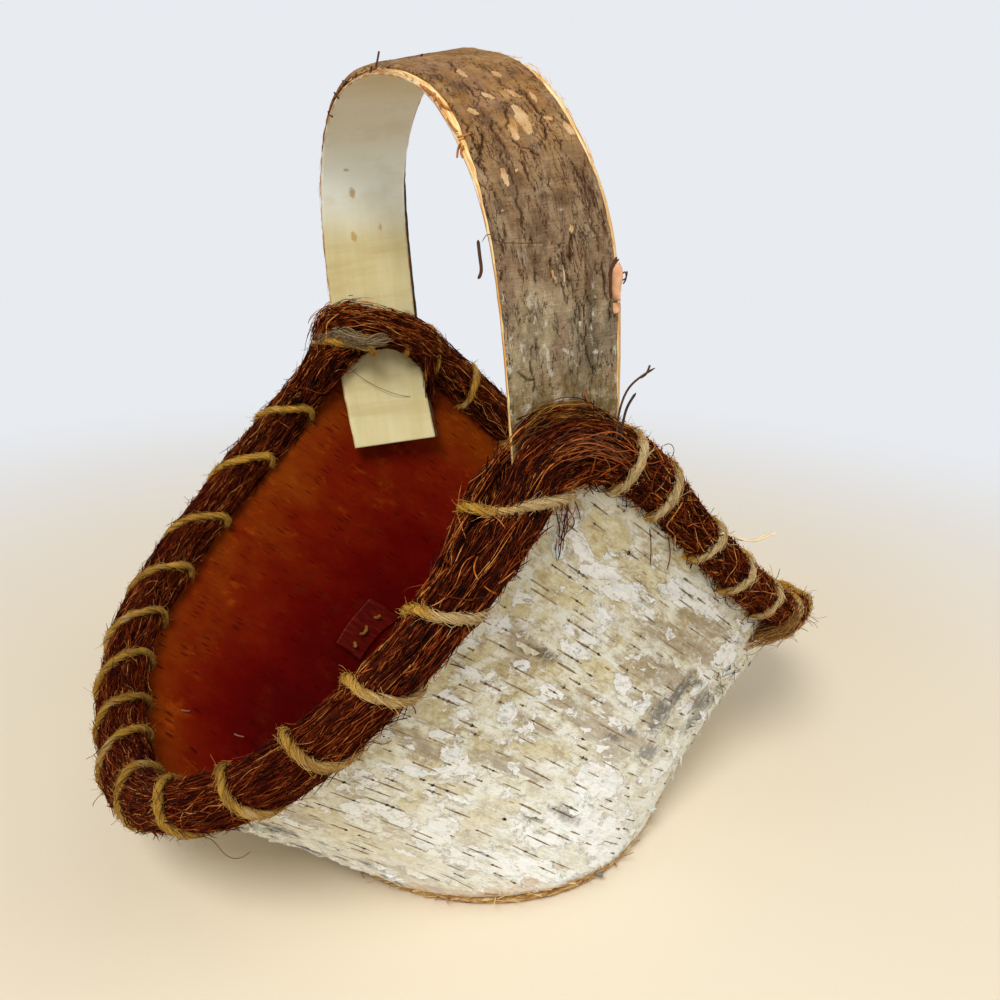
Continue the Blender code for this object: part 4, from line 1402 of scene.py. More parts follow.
# Long cracks in the handle's bark, by points of the picture
CRACK_LINES = (
    ((448, 62), (462, 80), (476, 98), (483, 116)),
    ((500, 62), (520, 86), (535, 108), (545, 126), (547, 138)),
    ((503, 106), (508, 126), (514, 141), (521, 147), (530, 149), (540, 154)),
    ((489, 122), (496, 136), (505, 147), (510, 158)),
    ((474, 118), (484, 140), (478, 160), (488, 182), (494, 196)),
    ((500, 150), (506, 166), (515, 186), (519, 204), (523, 222)),
    ((521, 160), (528, 178), (536, 194), (540, 214), (546, 232)),
    ((452, 105), (462, 120), (470, 132), (478, 150)),
    ((528, 87), (540, 92), (552, 92)),
    ((556, 113), (566, 118), (570, 122)),
    ((560, 142), (568, 158), (576, 168), (581, 180)),
    ((584, 160), (583, 180), (589, 200), (590, 216), (596, 236), (598, 250)),
    ((544, 214), (547, 226), (550, 240), (553, 252)),
    ((572, 232), (568, 246), (569, 258)),
    ((530, 240), (534, 260), (537, 282)),
    ((549, 262), (553, 276), (557, 286)),
    ((557, 244), (562, 260), (565, 268)),
    ((578, 276), (578, 300), (580, 320)),
    ((584, 248), (588, 270), (588, 290), (593, 312), (593, 322)),
    ((595, 262), (598, 274)),
    ((581, 300), (586, 320), (587, 344), (590, 368)),
    ((603, 262), (606, 290), (611, 318)),
    ((604, 218), (606, 236), (608, 246)),
    ((533, 344), (532, 366), (534, 392)),
    ((518, 372), (526, 380), (534, 380)),
)


def strip_spot(x, y):
    """Travel and place across where the camera sees the strip's outer face at a point of the picture."""
    travel, across = np.meshgrid(np.linspace(0.03, NEAR_TRAVEL, 500), np.linspace(-0.016, 0.016, 65))
    places = strip_place(travel, across, np.full_like(travel, STRIP_THICKNESS))
    depth = (places - EYE) @ CAMERA_AXES[2]
    right, down = picture(places)
    miss = np.hypot(right - x, down - y) + 40 * (depth - depth.min())
    best = np.unravel_index(np.argmin(miss), miss.shape)
    return float(travel[best]), float(across[best])


LEG_TRAVEL = strip_spot(*LEG_TOP_SEEN)[0]


def crack_tree():
    """Places along and across the strip that the long cracks pass, with small steps sideways."""
    points = []
    for number, pixels in enumerate(CRACK_LINES):
        spots = np.array([strip_spot(x, y) for x, y in pixels])
        count = 1 + int(steps_along(spots).sum() / 0.00025)
        known = np.linspace(0.0, 1.0, len(spots))
        at = np.linspace(0.0, 1.0, count)
        travel, x = np.interp(at, known, spots[:, 0]), np.interp(at, known, spots[:, 1])
        steps = flat_noise(travel, np.full(count, 0.01 * number), (0.0018, 1.0), 166, 3)
        points.append(np.stack([travel, x + 0.0009 * steps, np.zeros(count)], axis=1))
    return cord_tree(np.concatenate(points))


def strip_marked(travel, x, marks):
    """How near places on the handle's outer face are to marks in the picture."""
    places = strip_place(travel, x, np.full(np.shape(travel + x), STRIP_THICKNESS))
    return marked(places, marks) * (travel < NEAR_TRAVEL)


def peeled(travel, x):
    """1 where the handle's outer bark has peeled to a smooth tan layer."""
    wild = 0.42 * flat_noise(travel, x, (0.0034, 0.0018), 151, 5)
    near = strip_marked(travel, x, PEELED)
    return smooth_step(near + wild * smooth_step(near, 0.05, 0.30), 0.47, 0.53)


def flecked(travel, x):
    """1 on the pale flecks low on the near leg."""
    near = strip_marked(travel, x, FLECKS)
    wild = 0.95 * flat_noise(travel, x, (0.0022, 0.0010), 155, 5) * smooth_step(near, 0.05, 0.35)
    return smooth_step(near + wild, 0.52, 0.72)


def specked(travel, x):
    """1 on the dark specks of the wood inside the far leg."""
    places = strip_place(travel, x, np.zeros(np.shape(travel + x)))
    return marked(places, SPECKS) * (travel > NEAR_TRAVEL)


def shaded(travel, x):
    """1 on the darker patches of the handle's bark."""
    return strip_marked(travel, x, SHADED)


def cracks(travel, x):
    """1 in the dark cracks of the handle's bark, which run with the strip and step sideways."""
    shift = 0.0014 * flat_noise(travel, x, (0.004, 0.010), 161, 2)
    cell = flat_noise(travel, x + shift, (0.0130, 0.0023), 162, 3)
    line = 1 - smooth_step(np.abs(cell), 0.010, 0.060)
    where = smooth_step(flat_noise(travel, x, (0.022, 0.007), 163, 3), -0.05, 0.25)
    where = where * np.where(travel < 0.55 * STRIP_LENGTH, 0.55, 1.0)
    width = 0.00021 + 0.00022 * flat_noise(travel, x, (0.0030, 0.0030), 167, 2)
    flat = np.stack([travel + 0 * x, x + 0 * travel, 0 * travel + 0 * x], axis=-1).reshape(-1, 3)
    far = np.array([CRACKS.find(place)[2] for place in flat]).reshape(np.shape(travel + x))
    drawn_lines = 1 - smooth_step(far, 0.5 * width, 1.5 * width + 0.00004)
    return np.maximum(line * where * (1 - peeled(travel, x)), drawn_lines)


CRACKS = crack_tree()


def skin_relief(travel, x):
    """How far the handle's bark stands off its mean level."""
    share = travel / STRIP_LENGTH
    thick = 0.0010 * smooth_step(share, 0.45, 0.51) * (1 - smooth_step(share, 0.60, 0.72))
    plates = thick + 0.00016 * flat_noise(travel, x, (0.010, 0.0038), 164, 3)
    fine = 0.00006 * flat_noise(travel, x, (0.0022, 0.0012), 165)
    return plates + fine - 0.00042 * cracks(travel, x) - 0.00024 * peeled(travel, x)


def wood_relief(travel, x):
    """How far the handle's wood stands off its mean level."""
    return 0.00006 * flat_noise(travel, x, (0.012, 0.004), 171, 2)


def splinters(name, random, count, made_of):
    """Fine splinters of wood along both edges of the strip."""
    end = np.where(random.uniform(0, 1, count) < 0.5, -1.0, 1.0)
    start = random.uniform(0.052, STRIP_LENGTH - 0.056, count)
    length = random.uniform(0.002, 0.011, count) * random.uniform(0.3, 1.0, count)
    at = np.linspace(0.0, 1.0, 7)[None, :]
    way = np.where(random.uniform(0, 1, count) < 0.5, -1.0, 1.0)[:, None]
    travel = start[:, None] + way * length[:, None] * at
    reach = random.uniform(0.0, 0.0012, count)[:, None] * random.uniform(0.0, 1.0, count)[:, None] ** 2
    base = random.uniform(-0.0008, 0.0, count)[:, None]
    x = end[:, None] * (STRIP_WIDTH / 2 + base + reach * at**1.6)
    low = random.uniform(0.0004, WOOD_THICKNESS + 0.0003, count)[:, None]
    depth = low + at**1.5 * random.uniform(-0.0002, 0.0010, count)[:, None]
    radius = random.uniform(0.00007, 0.00020, count)[:, None] * (1 - 0.75 * at)
    tones = random.uniform(0.0, 1.0, count)
    return strands(name, strip_place(travel, x, depth), radius, 4, made_of, tones, flat=0.5)


def base_edge(made_of):
    """The bark plate under the bottom, with a ragged edge."""
    count = 480
    turns = 2 * math.pi * np.arange(count) / count
    x, y = np.cos(turns), np.sin(turns)
    ring = np.stack([x * 0.07, y * 0.07, np.zeros_like(x)], axis=-1)
    ragged = 0.00045 * rough(ring, 0.0030, 181) + 0.00060 * rough(ring, 0.013, 182)
    rows = []
    for number, (share, z, wild) in enumerate(PLATE_LAYERS):
        reach = -0.0001 + ragged * wild + 0.00018 * wild * rough(ring, 0.0012, 190 + number)
        across = BASE_MIDDLE_X + (BASE_HALF_LENGTH + reach) * share * x
        rows.append(np.stack([across, (BASE_HALF_WIDTH + reach) * share * y, np.full_like(x, z)], axis=1))
    verts = np.vstack(rows + [[[BASE_MIDDLE_X, 0.0, 0.0], [BASE_MIDDLE_X, 0.0, PLATE_THICKNESS]]])
    here = np.arange(count)
    ahead = (here + 1) % count
    last = (len(rows) - 1) * count
    lower = np.stack([ahead, here, np.full(count, len(verts) - 2)], axis=1)
    upper = np.stack([last + here, last + ahead, np.full(count, len(verts) - 1)], axis=1)
    faces = np.vstack([grid_faces(len(rows), count, True), lower, upper])
    made = finish_piece("base_edge", verts, faces, made_of)
    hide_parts("base_plate")
    return made


def base_fringe(random, made_of):
    """Short torn fibres along the foot of the wall."""
    count = 520
    shares = random.uniform(0.0, 1.0, count)
    rim = rim_point(shares)
    base = base_point(rim)
    out = wall_out(shares, np.full(count, 0.02))
    rise = unit(rim - base)
    along = np.cross(rise, out)
    starts = base + rise * random.uniform(-0.0012, 0.0022, count)[:, None] + out * 0.0009
    starts[:, 2] = np.maximum(starts[:, 2], 0.0005)
    headings = along * random.normal(0, 1.2, count)[:, None] + out * 0.18
    headings = headings + rise * random.uniform(-0.1, 0.5, count)[:, None]
    lines = curls(random, starts, headings, random.uniform(0.001, 0.0055, count), 8, 0.06)
    lines[..., 2] = np.maximum(lines[..., 2], 0.0003)
    radius = random.uniform(0.00008, 0.00025, count)
    return strands("base_fringe", lines, radius, 4, made_of, random.uniform(0, 1, count), flat=0.5)


def tab_place(long, short, depth):
    """A place on the tab: along it, across it, and off the middle of the wall into the basket."""
    long, short = np.asarray(long, float), np.asarray(short, float)
    along = short * math.sin(TAB_TILT) - long * math.cos(TAB_TILT)
    rise = long * math.sin(TAB_TILT) + short * math.cos(TAB_TILT)
    rim = rim_point(TAB_RIM_SHARE)
    step = 1.0 / RIM_FINE_STATIONS
    level = (TAB_HEIGHT - BOTTOM_Z) / (rim[2] - BOTTOM_Z)
    rim_ahead = rim_point(TAB_RIM_SHARE + step)
    level_ahead = (TAB_HEIGHT - BOTTOM_Z) / (rim_ahead[2] - BOTTOM_Z)
    move = wall_middle(TAB_RIM_SHARE + step, level_ahead) - wall_middle(TAB_RIM_SHARE, level)
    share = TAB_RIM_SHARE + along * step / float(np.linalg.norm(move))
    top = rim_point(share)
    climb = (TAB_HEIGHT + rise - BOTTOM_Z) / (top[..., 2] - BOTTOM_Z)
    return wall_middle(share, climb) - wall_out(share, climb) * np.asarray(depth)[..., None]


def tab(made_of):
    """The small piece of bark with a straight edge, low on the far wall."""
    rows = 40
    longs = np.linspace(-TAB_LENGTH / 2, TAB_LENGTH / 2, rows)[:, None]
    shorts = np.linspace(-1.0, 1.0, 24)[None, :]
    near = BARK_THICKNESS / 2 + 0.0002
    grain = np.stack([longs + 0 * shorts, 0 * longs + shorts * TAB_WIDTH / 2, 0 * longs * shorts], axis=-1)
    half = TAB_WIDTH / 2 + 0.0003 * rough(grain[:, :1], (0.004, 1.0, 1.0), 201)
    short = shorts * half
    lift = TAB_THICKNESS + 0.00005 * rough(grain, (0.010, 0.0025, 1.0), 202)
    front = tab_place(longs + 0 * short, short, near + lift)
    back = tab_place(longs + 0 * short, short[:, ::-1], np.full_like(short, near))
    block = np.concatenate([front, back], axis=1)
    made = finish_piece("tab", block.reshape(-1, 3), capped(rows, block.shape[1])[:, ::-1], made_of)
    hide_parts("inner_tab")
    return made


def stitch_line():
    """The thread's middle line, in and out through the tab and the wall."""
    radius = STITCH_DIAMETER / 2
    inner = BARK_THICKNESS / 2 + 2 * TAB_GAP + TAB_THICKNESS + radius
    outer = -(BARK_THICKNESS / 2 + TAB_GAP + radius)
    total = (STITCH_COUNT - 1) * STITCH_LENGTH
    travel = np.linspace(0.0, total, 90)
    wave = np.cos(2 * math.pi * travel / STITCH_LENGTH)
    square = wave * np.sqrt((1 + STITCH_SQUARENESS) / (wave * wave + STITCH_SQUARENESS))
    depth = (inner + outer) / 2 + (inner - outer) / 2 * square
    return tab_place(travel - total / 2, np.zeros(90), depth)


def bark_ground(shade, turned):
    """The cream ground of the white bark with its haze and its pale patches, which stand up a little."""
    shade.base = shade.ramp(
        shade.noise((0.016, 0.016, 0.008), turned, 7, 0.66),
        (0.28, 170, 152, 112),
        (0.39, 200, 188, 148),
        (0.50, 228, 223, 196),
        (0.61, 248, 250, 240),
    )
    haze = shade.noise((0.0065, 0.0065, 0.0032), turned, 8, 0.70, 3.1)
    shade.over(shade.step(haze, 0.50, 0.66), 0.7, (174, 156, 120))
    pale = shade.noise((0.0090, 0.0090, 0.0042), turned, 9, 0.70, 5.3)
    shade.over(shade.step(pale, 0.47, 0.56), 0.8, (240, 242, 234))
    return pale


def bark_mark(shade, key, wild, ragged):
    """How far places are inside the marks of a kind, with ragged edges."""
    return shade.plus(shade.tone(key), shade.times(wild, ragged))


def bark_patches(shade, turned, fray, soft):
    """Peeled patches of cream, brown and white, with a thin dark line round them."""
    cream = bark_mark(shade, "cream", fray, 0.9)
    shade.over(shade.step(cream, 0.47, 0.52), 0.9, shade.ramp(
        shade.noise((0.005, 0.005, 0.003), turned, 7, 0.68, 41.0),
        (0.35, 194, 176, 128),
        (0.50, 217, 206, 162),
        (0.66, 232, 226, 192),
    ))
    shade.over(shade.step(bark_mark(shade, "brown", soft, 1.5), 0.34, 0.66), 0.8, shade.ramp(
        shade.noise((0.009, 0.009, 0.0011), turned, 7, 0.70, 43.0),
        (0.34, 118, 98, 74),
        (0.50, 162, 143, 113),
        (0.66, 203, 190, 158),
    ))
    streaks = shade.noise((0.012, 0.012, 0.0007), turned, 4, 0.65, 7.7)
    shade.over(shade.step(streaks, 0.52, 0.76), 0.3, (160, 140, 110))
    flake = shade.noise((0.0115, 0.0115, 0.0066), turned, 9, 0.62, shift=12.3, bend=0.4)
    less = shade.minus(flake, shade.times(shade.tone("seen"), 0.030))
    scatter = shade.plus(shade.times(shade.minus(less, 0.556), 3.0), 0.5)
    level = shade.calc("MAXIMUM", bark_mark(shade, "white", fray, 1.05), scatter)
    line = shade.times(shade.step(level, 0.470, 0.488), shade.step(level, 0.512, 0.500))
    shade.over(line, 0.7, (146, 118, 82))
    white = shade.step(level, 0.500, 0.508)
    shade.over(white, 1.0, shade.ramp(
        shade.noise((0.006, 0.006, 0.003), turned, 5, 0.6, 2.4),
        (0.35, 234, 243, 247),
        (0.55, 255, 255, 255),
    ))
    line = shade.times(shade.step(cream, 0.440, 0.462), shade.step(cream, 0.495, 0.475))
    shade.over(line, 0.5, (150, 120, 80))
    return streaks, white


def bark_stains(shade, turned, soft):
    """Worn hollows, grey stains, the dark marks and the orange foot."""
    hollow = shade.noise((0.0075, 0.0075, 0.0045), turned, 9, 0.64, shift=16.3, bend=0.3)
    worn = shade.step(hollow, 0.388, 0.382)
    shade.over(worn, 0.8, shade.ramp(
        shade.noise((0.004, 0.004, 0.0006), turned, 5, 0.65, 13.0),
        (0.36, 158, 130, 88),
        (0.58, 210, 190, 140),
    ))
    grey = shade.noise((0.0034, 0.0034, 0.0018), turned, 8, 0.76, 1.9)
    shade.over(shade.step(grey, 0.610, 0.680), 0.75, (124, 108, 88))
    # Darker where the picture shows dark marks, also low at the left end where the wall turns under.
    shade.over(shade.step(bark_mark(shade, "dark", soft, 1.4), 0.20, 0.75), 0.55, (138, 122, 98))
    smear = shade.minus(shade.noise((0.0019, 0.0019, 0.0026), turned, 10, 0.86, 51.0), 0.5)
    shade.over(shade.step(bark_mark(shade, "dark", smear, 3.4), 0.46, 0.74), 0.92, (58, 52, 44))
    shade.over(shade.step(bark_mark(shade, "foot", soft, 2.2), 0.44, 0.60), 0.9, shade.ramp(
        shade.noise((0.010, 0.010, 0.0014), turned, 7, 0.70, 53.0),
        (0.34, 120, 72, 28),
        (0.48, 186, 132, 62),
        (0.62, 226, 194, 132),
    ))
    return worn


def bark_grain(shade, turned):
    """Faint dashes, hair lines, crumpled skin and specks, the torn foot, and painted light and shade from
    foot to top.
    """
    distance, chosen = shade.cells((0.0085, 0.0085, 0.0011), turned)
    dash = shade.times(shade.step(distance, 0.34, 0.14), shade.step(chosen, 0.48, 0.60))
    shade.over(dash, 0.5, (148, 126, 98))
    hairs = shade.noise((0.006, 0.006, 0.00035), turned, 3, 0.6, 17.0)
    shade.over(shade.step(hairs, 0.56, 0.76), 0.3, (140, 120, 92))
    crumple = shade.noise((0.0034, 0.0034, 0.0024), turned, 10, 0.80, 61.0)
    shade.over(shade.step(crumple, 0.51, 0.60), 0.45, (152, 132, 100))
    shade.over(shade.step(crumple, 0.47, 0.38), 0.55, (248, 249, 243))
    specks = shade.noise(0.0006, turned, 4, 0.7, 4.4)
    shade.over(shade.step(specks, 0.60, 0.76), 0.45, (140, 120, 92))
    low = shade.along("Z", 0.0075, 0.0018)
    torn = shade.step(shade.noise((0.005, 0.005, 0.002), detail=6, rough_share=0.68, shift=1.7), 0.42, 0.54)
    shade.over(shade.times(low, torn), 1.0, shade.ramp(
        shade.noise(0.004, detail=4, shift=9.0),
        (0.40, 176, 122, 56),
        (0.60, 216, 186, 128),
    ))
    # Painted shade darkens the wall toward its top edge, and painted light whitens it toward the foot.
    shade.over(shade.along("Z", 0.030, 0.115), 0.33, (132, 118, 88))
    shade.over(shade.along("Z", 0.085, 0.012), 0.42, (252, 255, 252))


def bark_material():
    """White bark, with its marks of white, cream, brown and dark where the picture shows them."""
    shade = Shade("outer_bark", 0.62, 0.2)
    turned = shade.turned
    fray = shade.minus(shade.noise((0.0060, 0.0060, 0.0036), turned, 9, 0.68, shift=31.0, bend=0.4), 0.5)
    soft = shade.minus(shade.noise((0.0080, 0.0080, 0.0030), turned, 8, 0.72, 37.0), 0.5)
    pale = bark_ground(shade, turned)
    streaks, white = bark_patches(shade, turned, fray, soft)
    worn = bark_stains(shade, turned, soft)
    bark_grain(shade, turned)
    height = shade.plus(shade.times(white, 0.6), shade.times(worn, -0.5))
    for part, share in ((shade.noise(0.0010, turned, 6, 0.65), 0.7), (streaks, 0.9), (pale, 0.8)):
        height = shade.plus(height, shade.times(part, share))
    shade.bump(height, 0.0005, 0.9)
    return shade.finish()


def inner_material():
    """Smooth red-brown inner bark, paler near the top and darker deep in the basket: partly its own colour,
    partly painted shade.
    """
    shade = Shade("inner_bark", 0.75, 0.03)
    turned = shade.turned
    wild = shade.centred(shade.noise((0.030, 0.030, 0.016), turned, 5, 0.6), 0.9)
    # The ramp by climb darkens the bark down the wall: partly the bark's own colour, partly painted shade
    # deep in the basket.
    level = shade.plus(shade.tone("climb"), wild)
    shade.base = shade.ramp(
        level,
        (0.10, 76, 2, 1),
        (0.38, 96, 5, 1),
        (0.62, 112, 22, 1),
        (0.92, 130, 54, 4),
    )
    mottle = shade.noise((0.012, 0.012, 0.007), turned, 6, 0.68, 4.0)
    shade.over(shade.step(mottle, 0.50, 0.70), 0.6, (92, 22, 2))
    pale = shade.noise((0.009, 0.009, 0.0045), turned, 7, 0.68, 5.0)
    near = shade.step(level, 0.45, 0.80)
    shade.over(shade.times(shade.step(pale, 0.54, 0.68), near), 0.6, (160, 70, 8))
    streak = shade.noise((0.012, 0.012, 0.0008), turned, 3, 0.6, 6.0)
    shade.over(shade.step(streak, 0.55, 0.75), 0.45, (74, 12, 3))
    distance, chosen = shade.cells((0.0085, 0.0085, 0.0010), turned, 3.0)
    dash = shade.times(shade.step(distance, 0.30, 0.12), shade.step(chosen, 0.55, 0.68))
    shade.over(dash, 0.7, (52, 8, 3))
    height = shade.minus(shade.noise((0.006, 0.006, 0.0012), turned, 5, 0.6), dash)
    shade.bump(height, 0.0003, 0.6)
    return shade.finish()


def coir_material():
    """Coconut fibres, from dark to pale by their tone, with painted shadow at the basket's left end."""
    shade = Shade("coir", 0.8, 0.05)
    wild = shade.centred(shade.noise(0.004), 0.9)
    shade.base = shade.ramp(
        shade.plus(shade.tone(), wild),
        (0.0, 16, 5, 2),
        (0.26, 58, 16, 5),
        (0.52, 108, 40, 11),
        (0.76, 166, 82, 26),
        (0.95, 222, 156, 82),
    )
    # Painted shadow: the fibres at the basket's left end are darkened and reddened for the shade that falls
    # there.
    shade.over(shade.along("X", -0.050, -0.090), 0.35, (74, 12, 0))
    return shade.finish()


def core_material():
    """The dark between the fibres: painted shade, in the coir's darkest colours."""
    shade = Shade("coir_core", 0.95, 0.05)
    # Painted shade: the bundle's inside is coloured darker than its fibres.
    shade.base = shade.ramp(shade.noise(0.002, detail=5), (0.35, 16, 5, 3), (0.7, 52, 20, 10))
    return shade.finish()


def jute_base(shade, value, golden, pale):
    """Golden jute outside the basket and paler jute where it shows inside."""
    across = shade.times(shade.step(shade.tone("inner"), 0.95, 0.25), shade.along("X", -0.110, -0.045))
    shade.base = shade.mix(across, shade.ramp(value, *golden), shade.ramp(value, *pale))


def jute_left_painted_shadow(shade):
    """Painted shadow that darkens the jute at the basket's left end, where shade falls."""
    shade.over(shade.along("X", -0.060, -0.105), 0.34, (112, 84, 46))


def jute_material():
    """Twisted jute, with a grain that follows the lay of its plies."""
    shade = Shade("jute", 0.9, 0.04)
    lay = shade.lay()
    threads = shade.noise((0.00016, 0.00016, 0.004), lay, 4, 0.65)
    golden = (0.28, 126, 80, 18), (0.46, 190, 138, 44), (0.64, 224, 182, 84)
    pale = (0.28, 112, 86, 48), (0.46, 178, 149, 98), (0.64, 218, 196, 148)
    jute_base(shade, threads, golden, pale)
    blotch = shade.noise(0.006, detail=4, shift=2.0)
    shade.over(shade.step(blotch, 0.52, 0.72), 0.5, (146, 104, 50))
    ghost = shade.noise(0.009, detail=4, shift=6.0)
    shade.over(shade.step(ghost, 0.55, 0.72), 0.5, (214, 200, 168))
    jute_left_painted_shadow(shade)
    shade.bump(threads, 0.0005, 1.0)
    return shade.finish()


def hair_material():
    """Loose hairs of the jute."""
    shade = Shade("jute_hair", 0.85, 0.05)
    golden = (0.0, 138, 92, 24), (1.0, 216, 170, 84)
    pale = (0.0, 140, 108, 62), (1.0, 222, 196, 146)
    jute_base(shade, shade.tone(), golden, pale)
    jute_left_painted_shadow(shade)
    return shade.finish()


def wood_material():
    """The pale inside of the handle strip, brown along its outer layer, with painted light and shade by
    height.
    """
    shade = Shade("pale_wood", 0.55, 0.2)
    lay = shade.lay()
    shade.base = shade.ramp(
        shade.noise((0.007, 0.060, 0.010), lay, 4, 0.55),
        (0.30, 204, 189, 134),
        (0.50, 213, 200, 150),
        (0.72, 221, 211, 166),
    )
    bands = shade.noise((0.060, 0.0090, 0.010), lay, 5, 0.6, shift=2.0, bend=0.3)
    shade.over(shade.step(bands, 0.44, 0.66), 0.5, (192, 170, 114))
    grain = shade.noise((0.0008, 0.012, 0.010), lay, 4, 0.65, 4.0)
    shade.over(shade.step(grain, 0.50, 0.80), 0.14, (182, 160, 104))
    distance, chosen = shade.cells((0.0055, 0.0080, 0.02), lay)
    speck = shade.times(shade.step(distance, 0.12, 0.05), shade.step(chosen, 0.90, 0.93))
    shade.over(speck, 1.0, (150, 92, 40))
    # Painted light: the wood under the arch is made paler upward, and painted shade browns the very top of
    # the crown.
    painted_light_height = shade.axis(shade.place, "Z")
    shade.over(shade.step(painted_light_height, 0.182, 0.208), 0.92, (248, 255, 248))
    shade.over(shade.step(painted_light_height, 0.212, 0.230), 1.0, (233, 229, 212))
    shade.over(shade.step(painted_light_height, 0.232, 0.243), 1.0, (220, 200, 160))
    cloud = shade.noise((0.014, 0.010, 0.010), lay, 5, 0.6, 12.0)
    shade.over(shade.step(cloud, 0.46, 0.68), 0.22, (200, 186, 146))
    spots = shade.plus(shade.tone("speck"), shade.centred(shade.noise(0.0018, lay, 5, 0.7, 8.8), 0.9))
    shade.over(shade.step(spots, 0.36, 0.72), 0.75, (186, 148, 70))
    edge = shade.step(shade.calc("ABSOLUTE", shade.axis(lay, "X")), 0.0154, 0.0161)
    torn = shade.step(shade.noise((0.001, 0.006, 0.001), lay, 4, 0.6), 0.44, 0.56)
    shade.over(shade.times(edge, torn), 1.0, (196, 124, 52))
    deep = shade.step(shade.axis(lay, "Z"), 0.0003, 0.0009)
    outer = shade.ramp(
        shade.noise((0.0007, 0.010, 0.0006), lay, 5, 0.65, 5.0),
        (0.30, 180, 104, 40),
        (0.44, 222, 168, 92),
        (0.56, 240, 212, 150),
        (0.72, 248, 232, 186),
    )
    crown = shade.step(shade.axis(lay, "Y"), 0.43 * STRIP_LENGTH, 0.48 * STRIP_LENGTH)
    outer = shade.mix(shade.times(crown, 0.85), outer, colour(150, 94, 32))
    shade.over(deep, 1.0, outer)
    shade.bump(shade.plus(grain, shade.times(bands, 0.3)), 0.00012, 0.5)
    return shade.finish()


def skin_ground(shade, lay):
    """The grey-brown ground of the handle's bark, warmer over the crown."""
    shade.base = shade.ramp(
        shade.noise((0.0045, 0.0085, 0.01), lay, 9, 0.74),
        (0.32, 98, 83, 62),
        (0.44, 143, 125, 97),
        (0.55, 175, 157, 126),
        (0.68, 206, 190, 160),
    )
    warm = shade.along("Z", 0.198, 0.236)
    shade.over(warm, 0.9, shade.ramp(
        shade.noise((0.0055, 0.0090, 0.01), lay, 8, 0.72, 2.2),
        (0.32, 112, 76, 38),
        (0.47, 164, 120, 66),
        (0.66, 202, 160, 102),
    ))
    shade.over(shade.minus(shade.along("Z", 0.180, 0.200), warm), 0.28, (86, 62, 40))


def skin_patches(shade, lay):
    """Soft patches on the handle's bark, and the thin rings across it, which stand up a little."""
    for size, detail, share, shift, low, high, strength, tint in SKIN_PATCHES:
        noise = shade.noise((*size, 0.01), lay, detail, share, shift)
        shade.over(shade.step(noise, low, high), strength, tint)
    block = shade.centred(shade.noise((0.0022, 0.0040, 0.01), lay, 8, 0.75, 33.0), 2.0)
    block = shade.plus(shade.tone("shaded"), block)
    shade.over(shade.step(block, 0.40, 0.80), 0.65, (70, 60, 46))
    rings = shade.noise((0.008, 0.00040, 0.01), lay, 4, 0.65, 1.0)
    shade.over(shade.step(rings, 0.52, 0.70), 0.40, (70, 55, 42))
    light = shade.noise((0.0030, 0.0006, 0.01), lay, 5, 0.68, 8.0)
    shade.over(shade.step(light, 0.56, 0.72), 0.40, (184, 166, 134))
    return rings


def skin_cracks(shade, lay):
    """Peeled patches, and the dark cracks and pits round them."""
    peel = shade.tone("peel")
    shade.over(shade.step(peel, 0.35, 0.55), 0.9, shade.ramp(
        shade.noise((0.0025, 0.006, 0.01), lay, 6, 0.66, 6.0),
        (0.34, 190, 142, 84),
        (0.50, 226, 184, 128),
        (0.64, 242, 212, 164),
    ))
    for size, shift, width, low, high in SKIN_CRACKS:
        ridge = shade.minus(shade.noise(size, lay, 6, 0.60, shift=shift, bend=0.5), 0.5)
        ridge = shade.calc("ABSOLUTE", ridge)
        here = shade.step(shade.noise((0.0055, 0.014, 0.01), lay, 5, 0.62, shift + 1), low, high)
        thin = shade.times(shade.step(ridge, width, 0.3 * width), here)
        thin = shade.times(thin, shade.step(peel, 0.5, 0.2))
        shade.over(thin, 0.88, (40, 29, 21))
    pits = shade.noise((0.0011, 0.0022, 0.01), lay, 6, 0.72, 7.0)
    shade.over(shade.step(pits, 0.62, 0.68), 0.75, (52, 39, 28))
    shade.over(shade.tone("crack"), 1.0, (34, 25, 18))
    return thin


def skin_material():
    """The grey-brown bark of the handle, with peeled patches, cracks and pale flecks."""
    shade = Shade("handle_bark", 0.88, 0.12)
    lay = shade.lay()
    skin_ground(shade, lay)
    rings = skin_patches(shade, lay)
    thin = skin_cracks(shade, lay)
    flecks = shade.step(shade.noise((0.0024, 0.0060, 0.01), lay, 8, 0.70, 9.0), 0.60, 0.64)
    flecks = shade.times(shade.along("Z", 0.208, 0.178), flecks)
    shade.over(shade.calc("MAXIMUM", flecks, shade.tone("fleck")), 0.85, (206, 200, 184))
    damp = shade.step(shade.noise(0.004, lay, 5, 0.65, 3.3), 0.40, 0.56)
    shade.over(shade.times(shade.along("Z", 0.176, 0.160), damp), 0.75, (110, 86, 28))
    shade.over(shade.along("Z", 0.180, 0.196), 0.20, (134, 70, 16))
    # Painted shade: the bark's face against the wood and its lowest edge are darkened, partly the bark's own
    # dark edge and partly the shade in the gap between bark and wood.
    under = shade.step(shade.axis(lay, "Z"), WOOD_THICKNESS + 0.00012, WOOD_THICKNESS + 0.00006)
    shade.over(under, 0.85, (72, 54, 40))
    height = shade.minus(shade.noise((0.0010, 0.0026, 0.01), lay, 8, 0.74), thin)
    shade.bump(shade.plus(height, shade.times(rings, 0.6)), 0.0007, 1.0)
    return shade.finish()


